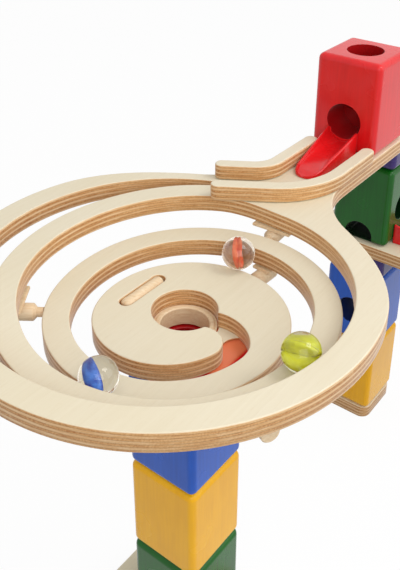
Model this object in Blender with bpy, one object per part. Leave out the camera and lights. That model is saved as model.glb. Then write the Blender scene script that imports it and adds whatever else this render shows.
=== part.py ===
"""Wooden marble run: a sawn spiral track on two stacks of painted blocks.

Sizes are in millimetres and are turned into metres when a mesh is made.
The origin is on the floor, under the catch hole at the middle of the spiral.
"""
import math

import bmesh
import bpy
from mathutils import Matrix, Vector

MM = 0.001

# Sheet, seats and fits
PLY = 9.0
SEAT = 0.3
FIT = 0.3

# Spiral track, seen from above, about the middle of the ring
RING_CENTRE = (-9.2, 2.5)
RING_OUTER = 97.5
RING_WIDTH = 12.8
CENTRE_FRONT = (1.6, -6.0)
CENTRE_ANGLE = -15.0
TURN_STEP = 10.65
TRACK_OUTSET = 2.1
TRACK_WIDTH = 12.0
EASE_START = 50.0
EASE_END = 80.0
SLOT_START = 80.0
DROP_SHARES = ((76, 0.0), (130, 0.105), (172, 0.17), (225, 0.42), (300, 0.53), (400, 0.58),
               (450, 0.665), (530, 0.865), (620, 1.0))
HOLE_RADIUS = 15.0
TONGUE_END = 1026.3
TONGUE_RADIUS = 10.3
CHANNEL_WIDTH = 11.35
BEND_EASE = 4.0
FLOOR_THICK = 0.8
FLOOR_RISE = 0.2
FLOOR_REACH = 7.7
FLOOR_ANGLE = 12.0
FLOOR_ROOT = 0.5
ARC_STEP = 6.0

# Arm from the ring to the back stack
ARM_ANGLE = 52.0
ARM_RIGHT = 24.0
ARM_LEFT = 18.0
ARM_FILLET = 48.0
NECK_INSET = 6.0
NECK_NEAR = 32.0
NECK_FAR = 74.0
ARM_LENGTH = 243.0
PAD_LONG = 57.0
PAD_LEFT = 34.0
PAD_CORNER = 10.0

# Guide strips on the arm
GUIDE_WIDTH = 7.4
GUIDE_HEIGHT = 8.2
GUIDE_TURN = 57.0
FRONT_GUIDE = dict(offset=22.8, near=115.5, clear=7.2, radius=42.0, tail=27.3)
BACK_GUIDE = dict(offset=-10.1, near=107.5, clear=11.9, radius=16.0, tail=16.4)

# Painted blocks
BLOCK_LONG = 55.0
BLOCK_WIDE = 39.5
LOW_SPACER = 16.0
HIGH_SPACER = 18.0
BLOCK_EDGE = 3.5
TUNNEL_RADIUS = 9.5
TUNNEL_LIFT = 23.5
ARCH_LIFT = 3.2
PIN_RADIUS = 3.0
PIN_DEPTH = 6.0
PIN_SPACING = 28.0

# Back stack and its base, inward from the arm's end and to its right
STACK_INSET = 25.5
STACK_RIGHT = -1.9
BASE_CORNER = 7.0
RAIL_MARGIN = 2.8
RAIL_LEFT = 32.1
RAIL_LENGTH = 122.0

# Middle stack and its base
FOOT_LONG = 90.0
FOOT_WIDE = 64.0
CATCH_LEFT = 28.5
CATCH_RIGHT = 33.0
CATCH_HIGH = 23.0
PLUG_RADIUS = 13.6
PLUG_BORE = 11.2
PLUG_SUNK = 8.0
PLUG_PROUD = 1.7

# Start block and ramps
START_INSET = 89.5
START_RIGHT = 3.4
START_BORE = 10.5
START_LIFT = 18.0
RAMP_LENGTH = 43.0
RAMP_WIDE = 19.4
RAMP_NARROW = 15.0
RAMP_HIGH = 13.6
RAMP_LOW = 1.4
RAMP_SCOOP = 7.3
RAMP_RIM = 1.8

# Small turned pieces
DOWEL_RADIUS = 3.0
DOWEL_LENGTH = 26.0
DOWEL_ALONG = 3.2
DOWEL_RIGHT = -15.9
DOWEL_SLOT = 29.0
DOWEL_PROUD = 1.0
PEG_HEAD = 4.0
PEG_NECK = 2.25
PEG_NECK_LONG = 3.0
PEG_CONE_LONG = 1.5
PEG_POST = 3.6
PEG_UNDER = 8.0
PEG_SUNK = 3.0
LEDGE_LONG = 21.0
LEDGE_DEEP = 10.0
LEDGE_HIGH = 1.5
LEDGE_SHOWN = 1.0
PEG_ANGLES = (297.0, 415.5, 538.0, 770.0)
MARBLE_RADIUS = 8.0
MARBLE_ANGLES = (315.5, 604.0, 780.0)

# Heights worked out from the stacks
BASE_TOP = PLY
YELLOW_BOTTOM = BASE_TOP + SEAT
BLUE_BOTTOM = YELLOW_BOTTOM + BLOCK_LONG + SEAT
LOW_SPACER_BOTTOM = BLUE_BOTTOM + BLOCK_LONG + SEAT
RAIL_BOTTOM = LOW_SPACER_BOTTOM + LOW_SPACER + SEAT
GREEN_BOTTOM = RAIL_BOTTOM + PLY + SEAT
HIGH_SPACER_BOTTOM = GREEN_BOTTOM + BLOCK_LONG + SEAT
PLATE_BOTTOM = HIGH_SPACER_BOTTOM + HIGH_SPACER + SEAT
PLATE_TOP = PLATE_BOTTOM + PLY
CENTRE_BOTTOMS = [BASE_TOP + SEAT + level * (BLOCK_LONG + SEAT) for level in range(4)]
CATCH_BOTTOM = CENTRE_BOTTOMS[3]
CATCH_TOP = CATCH_BOTTOM + CATCH_HIGH
DISC_TOP = CATCH_TOP + SEAT + PLY
DROP = PLATE_TOP - DISC_TOP

# Plan sizes that follow from others
RING_INNER = RING_OUTER - RING_WIDTH
TRACK_RADIUS = RING_INNER + TRACK_OUTSET
HOLE_CENTRE = (-RING_CENTRE[0], -RING_CENTRE[1])
PAD_START = ARM_LENGTH - PAD_LONG
STACK_ALONG = ARM_LENGTH - STACK_INSET
START_FACE = ARM_LENGTH - START_INSET


def direction(angle):
    """Unit vector at an angle in degrees."""
    return Vector((math.cos(math.radians(angle)), math.sin(math.radians(angle))))


def arc(centre, radius, start, end, step=ARC_STEP):
    """Points on an arc, both ends included."""
    count = max(2, int(abs(end - start) / step + 0.999))
    angles = [start + (end - start) * i / count for i in range(count + 1)]
    return [Vector(centre) + radius * direction(a) for a in angles]


def smooth(value):
    """Ease from 0 to 1 with level ends."""
    value = min(max(value, 0.0), 1.0)
    return value * value * (3.0 - 2.0 * value)


# Spiral: arcs about two centres, each half turn one step smaller than the last
CENTRE_BACK = tuple(Vector(CENTRE_FRONT) + TURN_STEP * direction(CENTRE_ANGLE))
JOIN_ANGLE = math.degrees(math.atan2(CENTRE_BACK[1], CENTRE_BACK[0]))
JOIN_REACH = RING_INNER - math.hypot(*CENTRE_BACK)


def half_turn(theta):
    """Number of the half turn, its centre and its outer radius."""
    number = int(math.floor((theta - CENTRE_ANGLE) / 180.0 + 1e-9))
    centre = CENTRE_FRONT if number % 2 else CENTRE_BACK
    return number, Vector(centre), TRACK_RADIUS - number * TURN_STEP


def track_width(theta):
    """Width of the track, more where it leaves the arm on an arc that meets the ring."""
    extra = TRACK_RADIUS - TRACK_WIDTH - JOIN_REACH
    return TRACK_WIDTH + extra * (1.0 - smooth((theta - EASE_START) / (EASE_END - EASE_START)))


def outer_edge(theta):
    """Plan point on the outer edge of the track."""
    number, centre, radius = half_turn(theta)
    return centre + radius * direction(theta)


def inner_edge(theta):
    """Plan point on the inner edge of the track."""
    number, centre, radius = half_turn(theta)
    return centre + (radius - track_width(theta)) * direction(theta)


def station_slopes():
    """Slope of the drop at each station, level at both ends and never turning back."""
    pairs = list(zip(DROP_SHARES, DROP_SHARES[1:]))
    rises = [(high[1] - low[1]) / (high[0] - low[0]) for low, high in pairs]
    return [0.0] + [2.0 * p * q / (p + q) for p, q in zip(rises, rises[1:])] + [0.0]


def track_drop(theta):
    """Height of the track's top below the arm, eased between the stations."""
    if theta <= DROP_SHARES[0][0]:
        return 0.0
    slopes = station_slopes()
    for i, (angle, share) in enumerate(DROP_SHARES[:-1]):
        next_angle, next_share = DROP_SHARES[i + 1]
        if theta <= next_angle:
            span = next_angle - angle
            t = (theta - angle) / span
            eased = share + (next_share - share) * t * t * (3.0 - 2.0 * t)
            eased += span * slopes[i] * t * (1.0 - t) ** 2
            eased -= span * slopes[i + 1] * t * t * (1.0 - t)
            return -DROP * eased
    return -DROP


def height_at(x, y):
    """Height of the sheet's top below the arm at a plan point."""
    slack = 0.05
    if math.hypot(x, y) > RING_INNER - slack:
        return 0.0
    for centre, first in ((CENTRE_BACK, 0), (CENTRE_FRONT, 1)):
        dx = x - centre[0]
        dy = y - centre[1]
        angle = (math.degrees(math.atan2(dy, dx)) - CENTRE_ANGLE) % 360.0 + CENTRE_ANGLE
        if (angle - CENTRE_ANGLE < 180.0) != (first == 0):
            continue
        reach = math.hypot(dx, dy)
        if reach > TRACK_RADIUS - first * TURN_STEP + slack:
            return 0.0
        turn = 0
        while reach < TRACK_RADIUS - (first + 2 * turn + 2) * TURN_STEP + slack and turn < 3:
            turn += 1
        return track_drop(angle + 360.0 * turn)
    return 0.0


# Outlines
def circles_meet(first, first_radius, second, second_radius):
    """Point where two circles meet, to the left of the way from the first to the second."""
    apart = second - first
    along = (first_radius ** 2 - second_radius ** 2 + apart.length_squared) / (2.0 * apart.length)
    ahead = apart.normalized()
    side = Vector((-ahead.y, ahead.x))
    return first + along * ahead + math.sqrt(first_radius ** 2 - along ** 2) * side


def angle_from(centre, point):
    """Angle of a point about a centre, in degrees."""
    return math.degrees(math.atan2(point.y - centre.y, point.x - centre.x))


def tongue_centre():
    """Centre of the tongue's round end, which touches the edge of the last half turn."""
    number, centre, radius = half_turn(TONGUE_END)
    return centre + (radius - TONGUE_RADIUS) * direction(TONGUE_END)


def slot_outline():
    """The saw cut between the turns, from the arm to the catch hole and back.

    Its last stretch is a channel round the tongue's end, which runs into the hole.
    """
    start = outer_edge(SLOT_START)
    ring_from = math.degrees(math.atan2(start.y, start.x))
    points = arc((0, 0), RING_INNER, ring_from, JOIN_ANGLE + 360.0)
    points += arc(CENTRE_BACK, JOIN_REACH, JOIN_ANGLE, EASE_START)[1:]
    tongue = tongue_centre()
    channel = TONGUE_RADIUS + CHANNEL_WIDTH
    number, centre, radius = half_turn(TONGUE_END - 360.0)
    bend = circles_meet(centre, radius - TRACK_WIDTH, tongue, channel)
    turn_off = angle_from(centre, bend) + 720.0
    turn_off -= math.degrees(BEND_EASE / (radius - TRACK_WIDTH))
    turn_in = angle_from(tongue, bend) + math.degrees(BEND_EASE / channel)
    count = int((turn_off - EASE_START) / ARC_STEP)
    for i in range(1, count + 1):
        points.append(inner_edge(EASE_START + (turn_off - EASE_START) * i / count))
    points.append((points[-1] + 2.0 * bend + tongue + channel * direction(turn_in)) / 4.0)
    hole = Vector(HOLE_CENTRE)
    cusp = circles_meet(hole, HOLE_RADIUS, tongue, channel)
    corner = circles_meet(hole, HOLE_RADIUS, tongue, TONGUE_RADIUS)
    points += arc(tongue, channel, turn_in, angle_from(tongue, cusp), 10.0)
    points += arc(hole, HOLE_RADIUS, angle_from(hole, cusp), angle_from(hole, corner) + 360.0,
                  10.0)[1:]
    points += arc(tongue, TONGUE_RADIUS, angle_from(tongue, corner), TONGUE_END - 1080.0, 10.0)[1:]
    count = int((TONGUE_END - SLOT_START) / ARC_STEP)
    for i in range(1, count + 1):
        points.append(outer_edge(TONGUE_END + (SLOT_START - TONGUE_END) * i / count))
    return points


def floor_outline():
    """The thin floor left in the channel beside the hole, rooted in the walls around it."""
    tongue = tongue_centre()
    hole = Vector(HOLE_CENTRE)
    rim = HOLE_RADIUS + 2.0 * FIT
    outside = TONGUE_RADIUS + CHANNEL_WIDTH + FLOOR_ROOT
    inside = TONGUE_RADIUS - FLOOR_ROOT
    front = tongue + (TONGUE_RADIUS + FLOOR_REACH) * direction(FLOOR_ANGLE)
    edge = FLOOR_REACH + 1.4 * FLOOR_ROOT
    begin = circles_meet(tongue, outside, front, edge)
    end = circles_meet(tongue, inside, front, edge)
    near = circles_meet(hole, rim, tongue, outside)
    far = circles_meet(hole, rim, tongue, inside)
    points = arc(tongue, outside, angle_from(tongue, near), angle_from(tongue, begin), 10.0)
    points += arc(front, edge, angle_from(front, begin), angle_from(front, end) % 360.0, 15.0)[1:]
    points += arc(tongue, inside, angle_from(tongue, end), angle_from(tongue, far), 10.0)[1:]
    return points + arc(hole, rim, angle_from(hole, far), angle_from(hole, near), 10.0)[1:-1]


def arm_point(along, right):
    """Plan point from distances along the arm and to its right."""
    turn = math.radians(ARM_ANGLE)
    x = along * math.cos(turn) + right * math.sin(turn)
    y = along * math.sin(turn) - right * math.cos(turn)
    return Vector((x, y))


def arm_arc(along, right, radius, start, end):
    """Arc given in arm lengths, its angles counted to the right of the arm."""
    points = arc((along, right), radius, start, end, 12.0)
    return [arm_point(p.x, p.y) for p in points]


def fillet_along(side):
    """Where the fillet between the arm's side and the ring ends on the arm."""
    reach = RING_OUTER - NECK_INSET + ARM_FILLET
    return math.sqrt(reach ** 2 - (side + ARM_FILLET) ** 2)


def rim_point(angle):
    """Plan point on the ring's outer edge, which is drawn in towards the arm."""
    from_arm = abs((angle - ARM_ANGLE + 180.0) % 360.0 - 180.0)
    drawn_in = NECK_INSET * (1.0 - smooth((from_arm - NECK_NEAR) / (NECK_FAR - NECK_NEAR)))
    return (RING_OUTER - drawn_in) * direction(angle)


def plate_outline():
    """Outer edge of the sheet: ring, arm and the pad over the back stack."""
    right_at = fillet_along(ARM_RIGHT)
    left_at = fillet_along(ARM_LEFT)
    right_angle = math.degrees(math.atan2(ARM_RIGHT + ARM_FILLET, right_at))
    left_angle = math.degrees(math.atan2(ARM_LEFT + ARM_FILLET, left_at))
    sweep = 360.0 - left_angle - right_angle
    count = int(sweep / ARC_STEP + 0.999)
    points = [rim_point(ARM_ANGLE + left_angle + sweep * i / count) for i in range(count + 1)]
    corner = PAD_CORNER
    points += arm_arc(right_at, ARM_RIGHT + ARM_FILLET, ARM_FILLET, 180 + right_angle, 270)[1:]
    points += arm_arc(ARM_LENGTH - corner, ARM_RIGHT - corner, corner, 90, 0)
    points += arm_arc(ARM_LENGTH - corner, corner - PAD_LEFT, corner, 0, -90)
    points += arm_arc(PAD_START + corner, corner - PAD_LEFT, corner, 270, 180)
    shoulder = (PAD_LEFT - ARM_LEFT) - corner
    points += arm_arc(PAD_START - shoulder, -ARM_LEFT - shoulder, shoulder, 0, 90)
    points += arm_arc(left_at, -ARM_LEFT - ARM_FILLET, ARM_FILLET, 90, 180 - left_angle)[:-1]
    return points


def stadium(centre, along, length, width):
    """Long round-ended outline whose long way is the unit vector along."""
    turn = math.degrees(math.atan2(along.y, along.x))
    reach = (length - width) / 2.0
    points = arc(centre + along * reach, width / 2.0, turn - 90.0, turn + 90.0, 30.0)
    points += arc(centre - along * reach, width / 2.0, turn + 90.0, turn + 270.0, 30.0)
    return points


def dowel_centre():
    """Plan point under the middle of the dowel."""
    return arm_point(DOWEL_ALONG, DOWEL_RIGHT)


def rounded_rectangle(x_low, x_high, y_low, y_high, corner):
    """Outline of a rectangle with round corners."""
    points = arc((x_high - corner, y_low + corner), corner, -90.0, 0.0, 30.0)
    points += arc((x_high - corner, y_high - corner), corner, 0.0, 90.0, 30.0)
    points += arc((x_low + corner, y_high - corner), corner, 90.0, 180.0, 30.0)
    points += arc((x_low + corner, y_low + corner), corner, 180.0, 270.0, 30.0)
    return points


def guide_outline(offset, near, clear, radius, tail):
    """Outline of a guide strip: straight from the start block, an arc, then a straight tail."""
    heading = ARM_ANGLE + 180.0
    path = [(arm_point(START_FACE - clear, offset), heading)]
    bend = arm_point(near, offset) + radius * direction(heading - 90.0)
    steps = 9
    for i in range(steps + 1):
        turned = heading - GUIDE_TURN * i / steps
        path.append((bend + radius * direction(turned + 90.0), turned))
    end, last = path[-1]
    path.append((end + tail * direction(last), last))
    half = GUIDE_WIDTH / 2.0
    left = [p + half * direction(a + 90.0) for p, a in path]
    right = [p + half * direction(a - 90.0) for p, a in path]
    start_cap = arc(path[0][0], half, heading + 90.0, heading + 270.0, 36.0)
    end_cap = arc(path[-1][0], half, last - 90.0, last + 90.0, 36.0)
    return start_cap[1:-1] + right + end_cap[1:-1] + left[::-1]


# Meshes and objects
def clear_scene():
    """Remove every object that is already there."""
    for item in list(bpy.data.objects):
        bpy.data.objects.remove(item, do_unlink=True)


def paint(name, colour, roughness):
    """Principled material from an sRGB colour given as six hex digits."""
    material = bpy.data.materials.new(name)
    material.use_nodes = True
    shader = material.node_tree.nodes["Principled BSDF"]
    parts = [int(colour[i:i + 2], 16) / 255.0 for i in (0, 2, 4)]
    linear = [c / 12.92 if c <= 0.04045 else ((c + 0.055) / 1.055) ** 2.4 for c in parts]
    shader.inputs["Base Color"].default_value = (*linear, 1.0)
    shader.inputs["Roughness"].default_value = roughness
    shader.inputs["Metallic"].default_value = 0.0
    material.diffuse_color = (*linear, 1.0)
    return material


def add_empty(name, place, turn=0.0, parent=None):
    """Empty that carries pieces, turned about Z by an angle in degrees."""
    empty = bpy.data.objects.new(name, None)
    empty.location = Vector(place) * MM
    empty.rotation_euler = (0.0, 0.0, math.radians(turn))
    empty.parent = parent
    bpy.context.scene.collection.objects.link(empty)
    return empty


def metres(matrix):
    """The same placing with its lengths in metres."""
    return Matrix.Translation(matrix.to_translation() * MM) @ matrix.to_3x3().to_4x4()


def add_mesh(name, bm, material, parent=None, place=(0, 0, 0)):
    """Turn a bmesh in millimetres into a named object."""
    bmesh.ops.scale(bm, vec=(MM, MM, MM), verts=bm.verts)
    bmesh.ops.recalc_face_normals(bm, faces=bm.faces)
    mesh = bpy.data.meshes.new(name)
    bm.to_mesh(mesh)
    bm.free()
    piece = bpy.data.objects.new(name, mesh)
    piece.location = Vector(place) * MM
    piece.parent = parent
    if material:
        mesh.materials.append(material)
    bpy.context.scene.collection.objects.link(piece)
    return piece


def sheet(loops, thickness):
    """Flat sheet with its top at height 0; later loops are holes in the first."""
    bm = bmesh.new()
    edges = []
    for loop in loops:
        verts = [bm.verts.new((p[0], p[1], 0.0)) for p in loop]
        for i, vert in enumerate(verts):
            edges.append(bm.edges.new((vert, verts[(i + 1) % len(verts)])))
    bmesh.ops.triangle_fill(bm, use_beauty=True, use_dissolve=False, edges=edges)
    made = bmesh.ops.extrude_face_region(bm, geom=list(bm.faces))
    lower = [v for v in made["geom"] if isinstance(v, bmesh.types.BMVert)]
    bmesh.ops.translate(bm, verts=lower, vec=(0.0, 0.0, -thickness))
    return bm


def block_mesh(size, centre):
    """Plain box of a size about a centre."""
    bm = bmesh.new()
    bmesh.ops.create_cube(bm, size=1.0)
    bmesh.ops.scale(bm, vec=size, verts=bm.verts)
    bmesh.ops.translate(bm, verts=bm.verts, vec=centre)
    return bm


def rod_mesh(radius, length, segments):
    """Upright rod about the origin."""
    bm = bmesh.new()
    bmesh.ops.create_cone(bm, cap_ends=True, segments=segments, radius1=radius,
                          radius2=radius, depth=length)
    return bm


def round_edges(piece, width, segments):
    """Round every edge of a piece."""
    bevel = piece.modifiers.new("Edges", "BEVEL")
    bevel.width = width * MM
    bevel.segments = segments
    bevel.limit_method = "ANGLE"
    bevel.angle_limit = math.radians(40.0)


def bore(piece, centre, axis, radius, length, segments=32):
    """Cut a round hole about a centre, along an axis of the piece's parent."""
    bm = rod_mesh(radius, length, segments)
    turn = Vector((0, 0, 1)).rotation_difference(Vector(axis)).to_matrix().to_4x4()
    bmesh.ops.transform(bm, matrix=Matrix.Translation(centre) @ turn, verts=bm.verts)
    cut(piece, bm)


def cut(piece, bm, operation="DIFFERENCE"):
    """Take a closed shape away from a piece, or join it on with UNION."""
    name = piece.name + "_cut_" + str(len(piece.modifiers))
    cutter = add_mesh(name, bm, None, piece.parent, piece.location / MM)
    cutter.hide_render = True
    cutter.display_type = "WIRE"
    modifier = piece.modifiers.new("Cut", "BOOLEAN")
    modifier.operation = operation
    modifier.solver = "EXACT"
    modifier.object = cutter


def pin_sides():
    """Places of the two locating pins, right and left of a stack's axis."""
    return [(0.0, side * PIN_SPACING / 2.0) for side in (-1, 1)]


def pin_holes(piece, heights):
    """Blind holes for the locating pins, from each given face into the piece."""
    for face, inward in heights:
        depth = PIN_DEPTH + FIT
        for x, y in pin_sides():
            middle = face + inward * (depth - 1.0) / 2.0
            bore(piece, (x, y, middle), (0, 0, 1), PIN_RADIUS + FIT, depth + 1.0, 16)


def pin_pair(name, parent, seat_low, seat_high, material):
    """Two pins across a seat, between the faces on either side of it."""
    low = seat_low - PIN_DEPTH
    high = seat_high + PIN_DEPTH
    for side, (x, y) in zip(("right", "left"), pin_sides()):
        bm = rod_mesh(PIN_RADIUS, high - low, 16)
        add_mesh(name + "_" + side, bm, material, parent, (x, y, (low + high) / 2.0))


def arch_cut(piece, bottom, length, lift):
    """Cut a round-topped tunnel along X at the bottom of a block, its arc lifted from there."""
    points = arc((0.0, lift), TUNNEL_RADIUS, 0.0, 180.0, 12.0)
    points += [Vector((-TUNNEL_RADIUS, -2.0)), Vector((TUNNEL_RADIUS, -2.0))]
    bm = sheet([points], length)
    stand = Matrix(((0, 0, 1, length / 2.0), (1, 0, 0, 0), (0, 1, 0, bottom), (0, 0, 0, 1)))
    bmesh.ops.transform(bm, matrix=stand, verts=bm.verts)
    cut(piece, bm)


# Pieces of the spiral
def make_spiral_plate(parent, wood):
    """One sheet: ring, sunk spiral track, catch hole with its thin floor, arm and pad."""
    dowel_slot = stadium(dowel_centre(), direction(ARM_ANGLE), DOWEL_SLOT,
                         2.0 * (DOWEL_RADIUS + FIT))
    bm = sheet([plate_outline(), slot_outline(), dowel_slot], PLY)
    for vert in bm.verts:
        vert.co.z += height_at(vert.co.x, vert.co.y)
    plate = add_mesh("spiral_plate", bm, wood, parent)
    floor = sheet([floor_outline()], FLOOR_THICK)
    lift = FLOOR_THICK + FLOOR_RISE - PLY - DROP
    bmesh.ops.translate(floor, verts=floor.verts, vec=(0, 0, lift))
    cut(plate, floor, "UNION")
    return plate


def make_guides(parent, wood):
    """The two strips that lead a marble onto the track."""
    for name, shape in (("guide_rail_front", FRONT_GUIDE), ("guide_rail_back", BACK_GUIDE)):
        bm = sheet([guide_outline(**shape)], GUIDE_HEIGHT)
        guide = add_mesh(name, bm, wood, parent, (0, 0, SEAT + GUIDE_HEIGHT))
        round_edges(guide, 0.6, 1)


def make_dowel(parent, wood):
    """Round-ended dowel lying in its slot beside the catch hole."""
    bm = rod_mesh(DOWEL_RADIUS, DOWEL_LENGTH, 20)
    turn = Vector((0, 0, 1)).rotation_difference(direction(ARM_ANGLE).to_3d())
    bmesh.ops.transform(bm, matrix=turn.to_matrix().to_4x4(), verts=bm.verts)
    middle = dowel_centre()
    height = -DROP + DOWEL_PROUD - DOWEL_RADIUS
    dowel = add_mesh("locating_dowel", bm, wood, parent, (middle.x, middle.y, height))
    round_edges(dowel, 1.2, 2)


def peg_mesh(reach):
    """Turned peg along X: thin neck at the lower turn, cone, then head to the reach."""
    neck_end = SEAT + PEG_NECK_LONG
    profile = ((SEAT, PEG_NECK), (neck_end, PEG_NECK), (neck_end + PEG_CONE_LONG, PEG_HEAD),
               (reach, PEG_HEAD))
    bm = bmesh.new()
    rings = []
    sides = 16
    for along, size in profile:
        ring = []
        for i in range(sides):
            angle = 2.0 * math.pi * i / sides
            ring.append(bm.verts.new((along, size * math.cos(angle), size * math.sin(angle))))
        rings.append(ring)
    for near, far in zip(rings, rings[1:]):
        for i in range(sides):
            bm.faces.new((near[i], near[(i + 1) % sides], far[(i + 1) % sides], far[i]))
    bm.faces.new(rings[0])
    bm.faces.new(rings[-1])
    return bm


def make_peg(name, parent, wood, theta, upper_top, upper_edge):
    """Spacer from the lower turn's edge to a post and ledge under the upper turn."""
    edge = outer_edge(theta)
    number, centre, radius = half_turn(theta)
    outward = (edge - centre).normalized()
    gap = (upper_edge - edge).dot(outward)
    ledge_top = upper_top - PLY - 2.0 * SEAT
    axis_height = min(track_drop(theta) - PEG_SUNK, ledge_top - LEDGE_HIGH - PEG_HEAD + 0.5)
    place = Matrix.Translation((edge.x, edge.y, axis_height))
    place = place @ Matrix.Rotation(math.atan2(outward.y, outward.x), 4, "Z")
    top = ledge_top - axis_height
    reach = gap + PEG_UNDER
    ledge_middle = gap - LEDGE_SHOWN + LEDGE_DEEP / 2.0
    peg = add_mesh(name, peg_mesh(reach), wood, parent)
    ledge = block_mesh((LEDGE_DEEP, LEDGE_LONG, LEDGE_HIGH),
                       (ledge_middle, 0, top - LEDGE_HIGH / 2.0))
    post = rod_mesh(PEG_POST, top - LEDGE_HIGH / 2.0, 24)
    bmesh.ops.translate(post, verts=post.verts,
                        vec=(reach - PEG_POST - 0.5, 0, (top - LEDGE_HIGH / 2.0) / 2.0))
    for bm in (ledge, post):
        part = add_mesh(name + "_join_" + str(len(peg.modifiers)), bm, None, parent)
        part.data.transform(metres(place))
        part.hide_render = True
        part.display_type = "WIRE"
        join = peg.modifiers.new("Join", "BOOLEAN")
        join.operation = "UNION"
        join.solver = "EXACT"
        join.object = part
    peg.data.transform(metres(place))


def make_pegs(parent, wood):
    """Spacers between neighbouring turns, where the photograph shows them."""
    first, *others = PEG_ANGLES
    make_peg("spacer_peg_1", parent, wood, first, 0.0, RING_INNER * direction(first))
    for number, theta in enumerate(others, 2):
        upper = inner_edge(theta - 360.0)
        spread = math.degrees(LEDGE_LONG / 2.0 / upper.length)
        name = "spacer_peg_" + str(number)
        make_peg(name, parent, wood, theta, track_drop(theta - 360.0 + spread), upper)


def marble_seat(theta, wall_centre, wall_radius):
    """Radius about the wall's centre, angle there and height of a marble's middle."""
    reach = wall_radius - MARBLE_RADIUS - FIT
    place = Vector(wall_centre) + reach * direction(theta)
    number, centre, radius = half_turn(theta)
    outside = max(0.0, (place - centre).length - radius)
    clear = MARBLE_RADIUS + FIT
    return place, track_drop(theta) + math.sqrt(clear ** 2 - outside ** 2)


def make_marbles(parent, glass):
    """Three glass marbles, each carried by an empty on the axis of its turn."""
    yellow_wall = ((0.0, 0.0), RING_INNER)
    blue_wall = (CENTRE_FRONT, TRACK_RADIUS - TURN_STEP - TRACK_WIDTH)
    orange_wall = (CENTRE_BACK, TRACK_RADIUS - 2.0 * TURN_STEP - TRACK_WIDTH)
    names = ("marble_yellow", "marble_blue", "marble_orange")
    walls = (yellow_wall, blue_wall, orange_wall)
    for name, theta, (centre, radius) in zip(names, MARBLE_ANGLES, walls):
        place, height = marble_seat(theta, centre, radius)
        axis = add_empty(name + "_axis", (centre[0], centre[1], height), 0.0, parent)
        bm = bmesh.new()
        bmesh.ops.create_icosphere(bm, subdivisions=3, radius=MARBLE_RADIUS)
        offset = (place.x - centre[0], place.y - centre[1], 0.0)
        add_mesh(name, bm, glass[name], axis, offset)


# Blocks, bases and ramps
def make_block(name, parent, material, size, centre):
    """Painted block with rounded edges."""
    block = add_mesh(name, block_mesh(size, centre), material, parent)
    round_edges(block, BLOCK_EDGE, 2)
    return block


def make_base(name, parent, material, outline, top):
    """Sawn plate with rounded corners."""
    plate = add_mesh(name, sheet([outline], PLY), material, parent, (0, 0, top))
    round_edges(plate, 0.6, 1)
    return plate


def ramp_mesh():
    """Scooped ramp along -X: high end at 0, low round nose at the other end, foot at height 0."""
    bm = bmesh.new()
    steps = 10
    across = 8
    nose = RAMP_NARROW / 2.0
    sections = []
    for i in range(steps + 1):
        along = RAMP_LENGTH * i / steps
        rise = 1.0 - along / RAMP_LENGTH
        half = (RAMP_NARROW + (RAMP_WIDE - RAMP_NARROW) * rise) / 2.0
        from_tip = RAMP_LENGTH - along
        if from_tip < nose:
            half = min(half, math.sqrt(max(nose ** 2 - (nose - from_tip) ** 2, 9.0)))
        high = RAMP_LOW + (RAMP_HIGH - RAMP_LOW) * rise
        outline = [(-half, high), (-half, 0.0), (half, 0.0), (half, high)]
        for k in range(across + 1):
            angle = math.pi * k / across
            side = (half - RAMP_RIM) * math.cos(angle)
            outline.append((side, high - RAMP_SCOOP * rise * math.sin(angle)))
        sections.append([bm.verts.new((-along, y, z)) for y, z in outline])
    count = len(sections[0])
    for near, far in zip(sections, sections[1:]):
        for i in range(count):
            bm.faces.new((near[i], near[(i + 1) % count], far[(i + 1) % count], far[i]))
    bm.faces.new(sections[0])
    bm.faces.new(sections[-1])
    return bm


def make_start(parent, red):
    """Start block with its bent bore, and the ramp in front of it."""
    middle = START_FACE + BLOCK_WIDE / 2.0
    centre = (middle, -START_RIGHT, SEAT + BLOCK_LONG / 2.0)
    block = make_block("start_block", parent, red, (BLOCK_WIDE, BLOCK_WIDE, BLOCK_LONG), centre)
    level = SEAT + START_LIFT
    drop_length = BLOCK_LONG - START_LIFT + 5.0
    bore(block, (middle, -START_RIGHT, level + drop_length / 2.0), (0, 0, 1), START_BORE,
         drop_length)
    bore(block, (middle - BLOCK_WIDE / 2.0, -START_RIGHT, level), (1, 0, 0), START_BORE,
         BLOCK_WIDE + 0.5)
    ramp = add_mesh("start_ramp", ramp_mesh(), red, parent,
                    (START_FACE - SEAT, -START_RIGHT, SEAT))
    round_edges(ramp, 0.6, 1)


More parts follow.
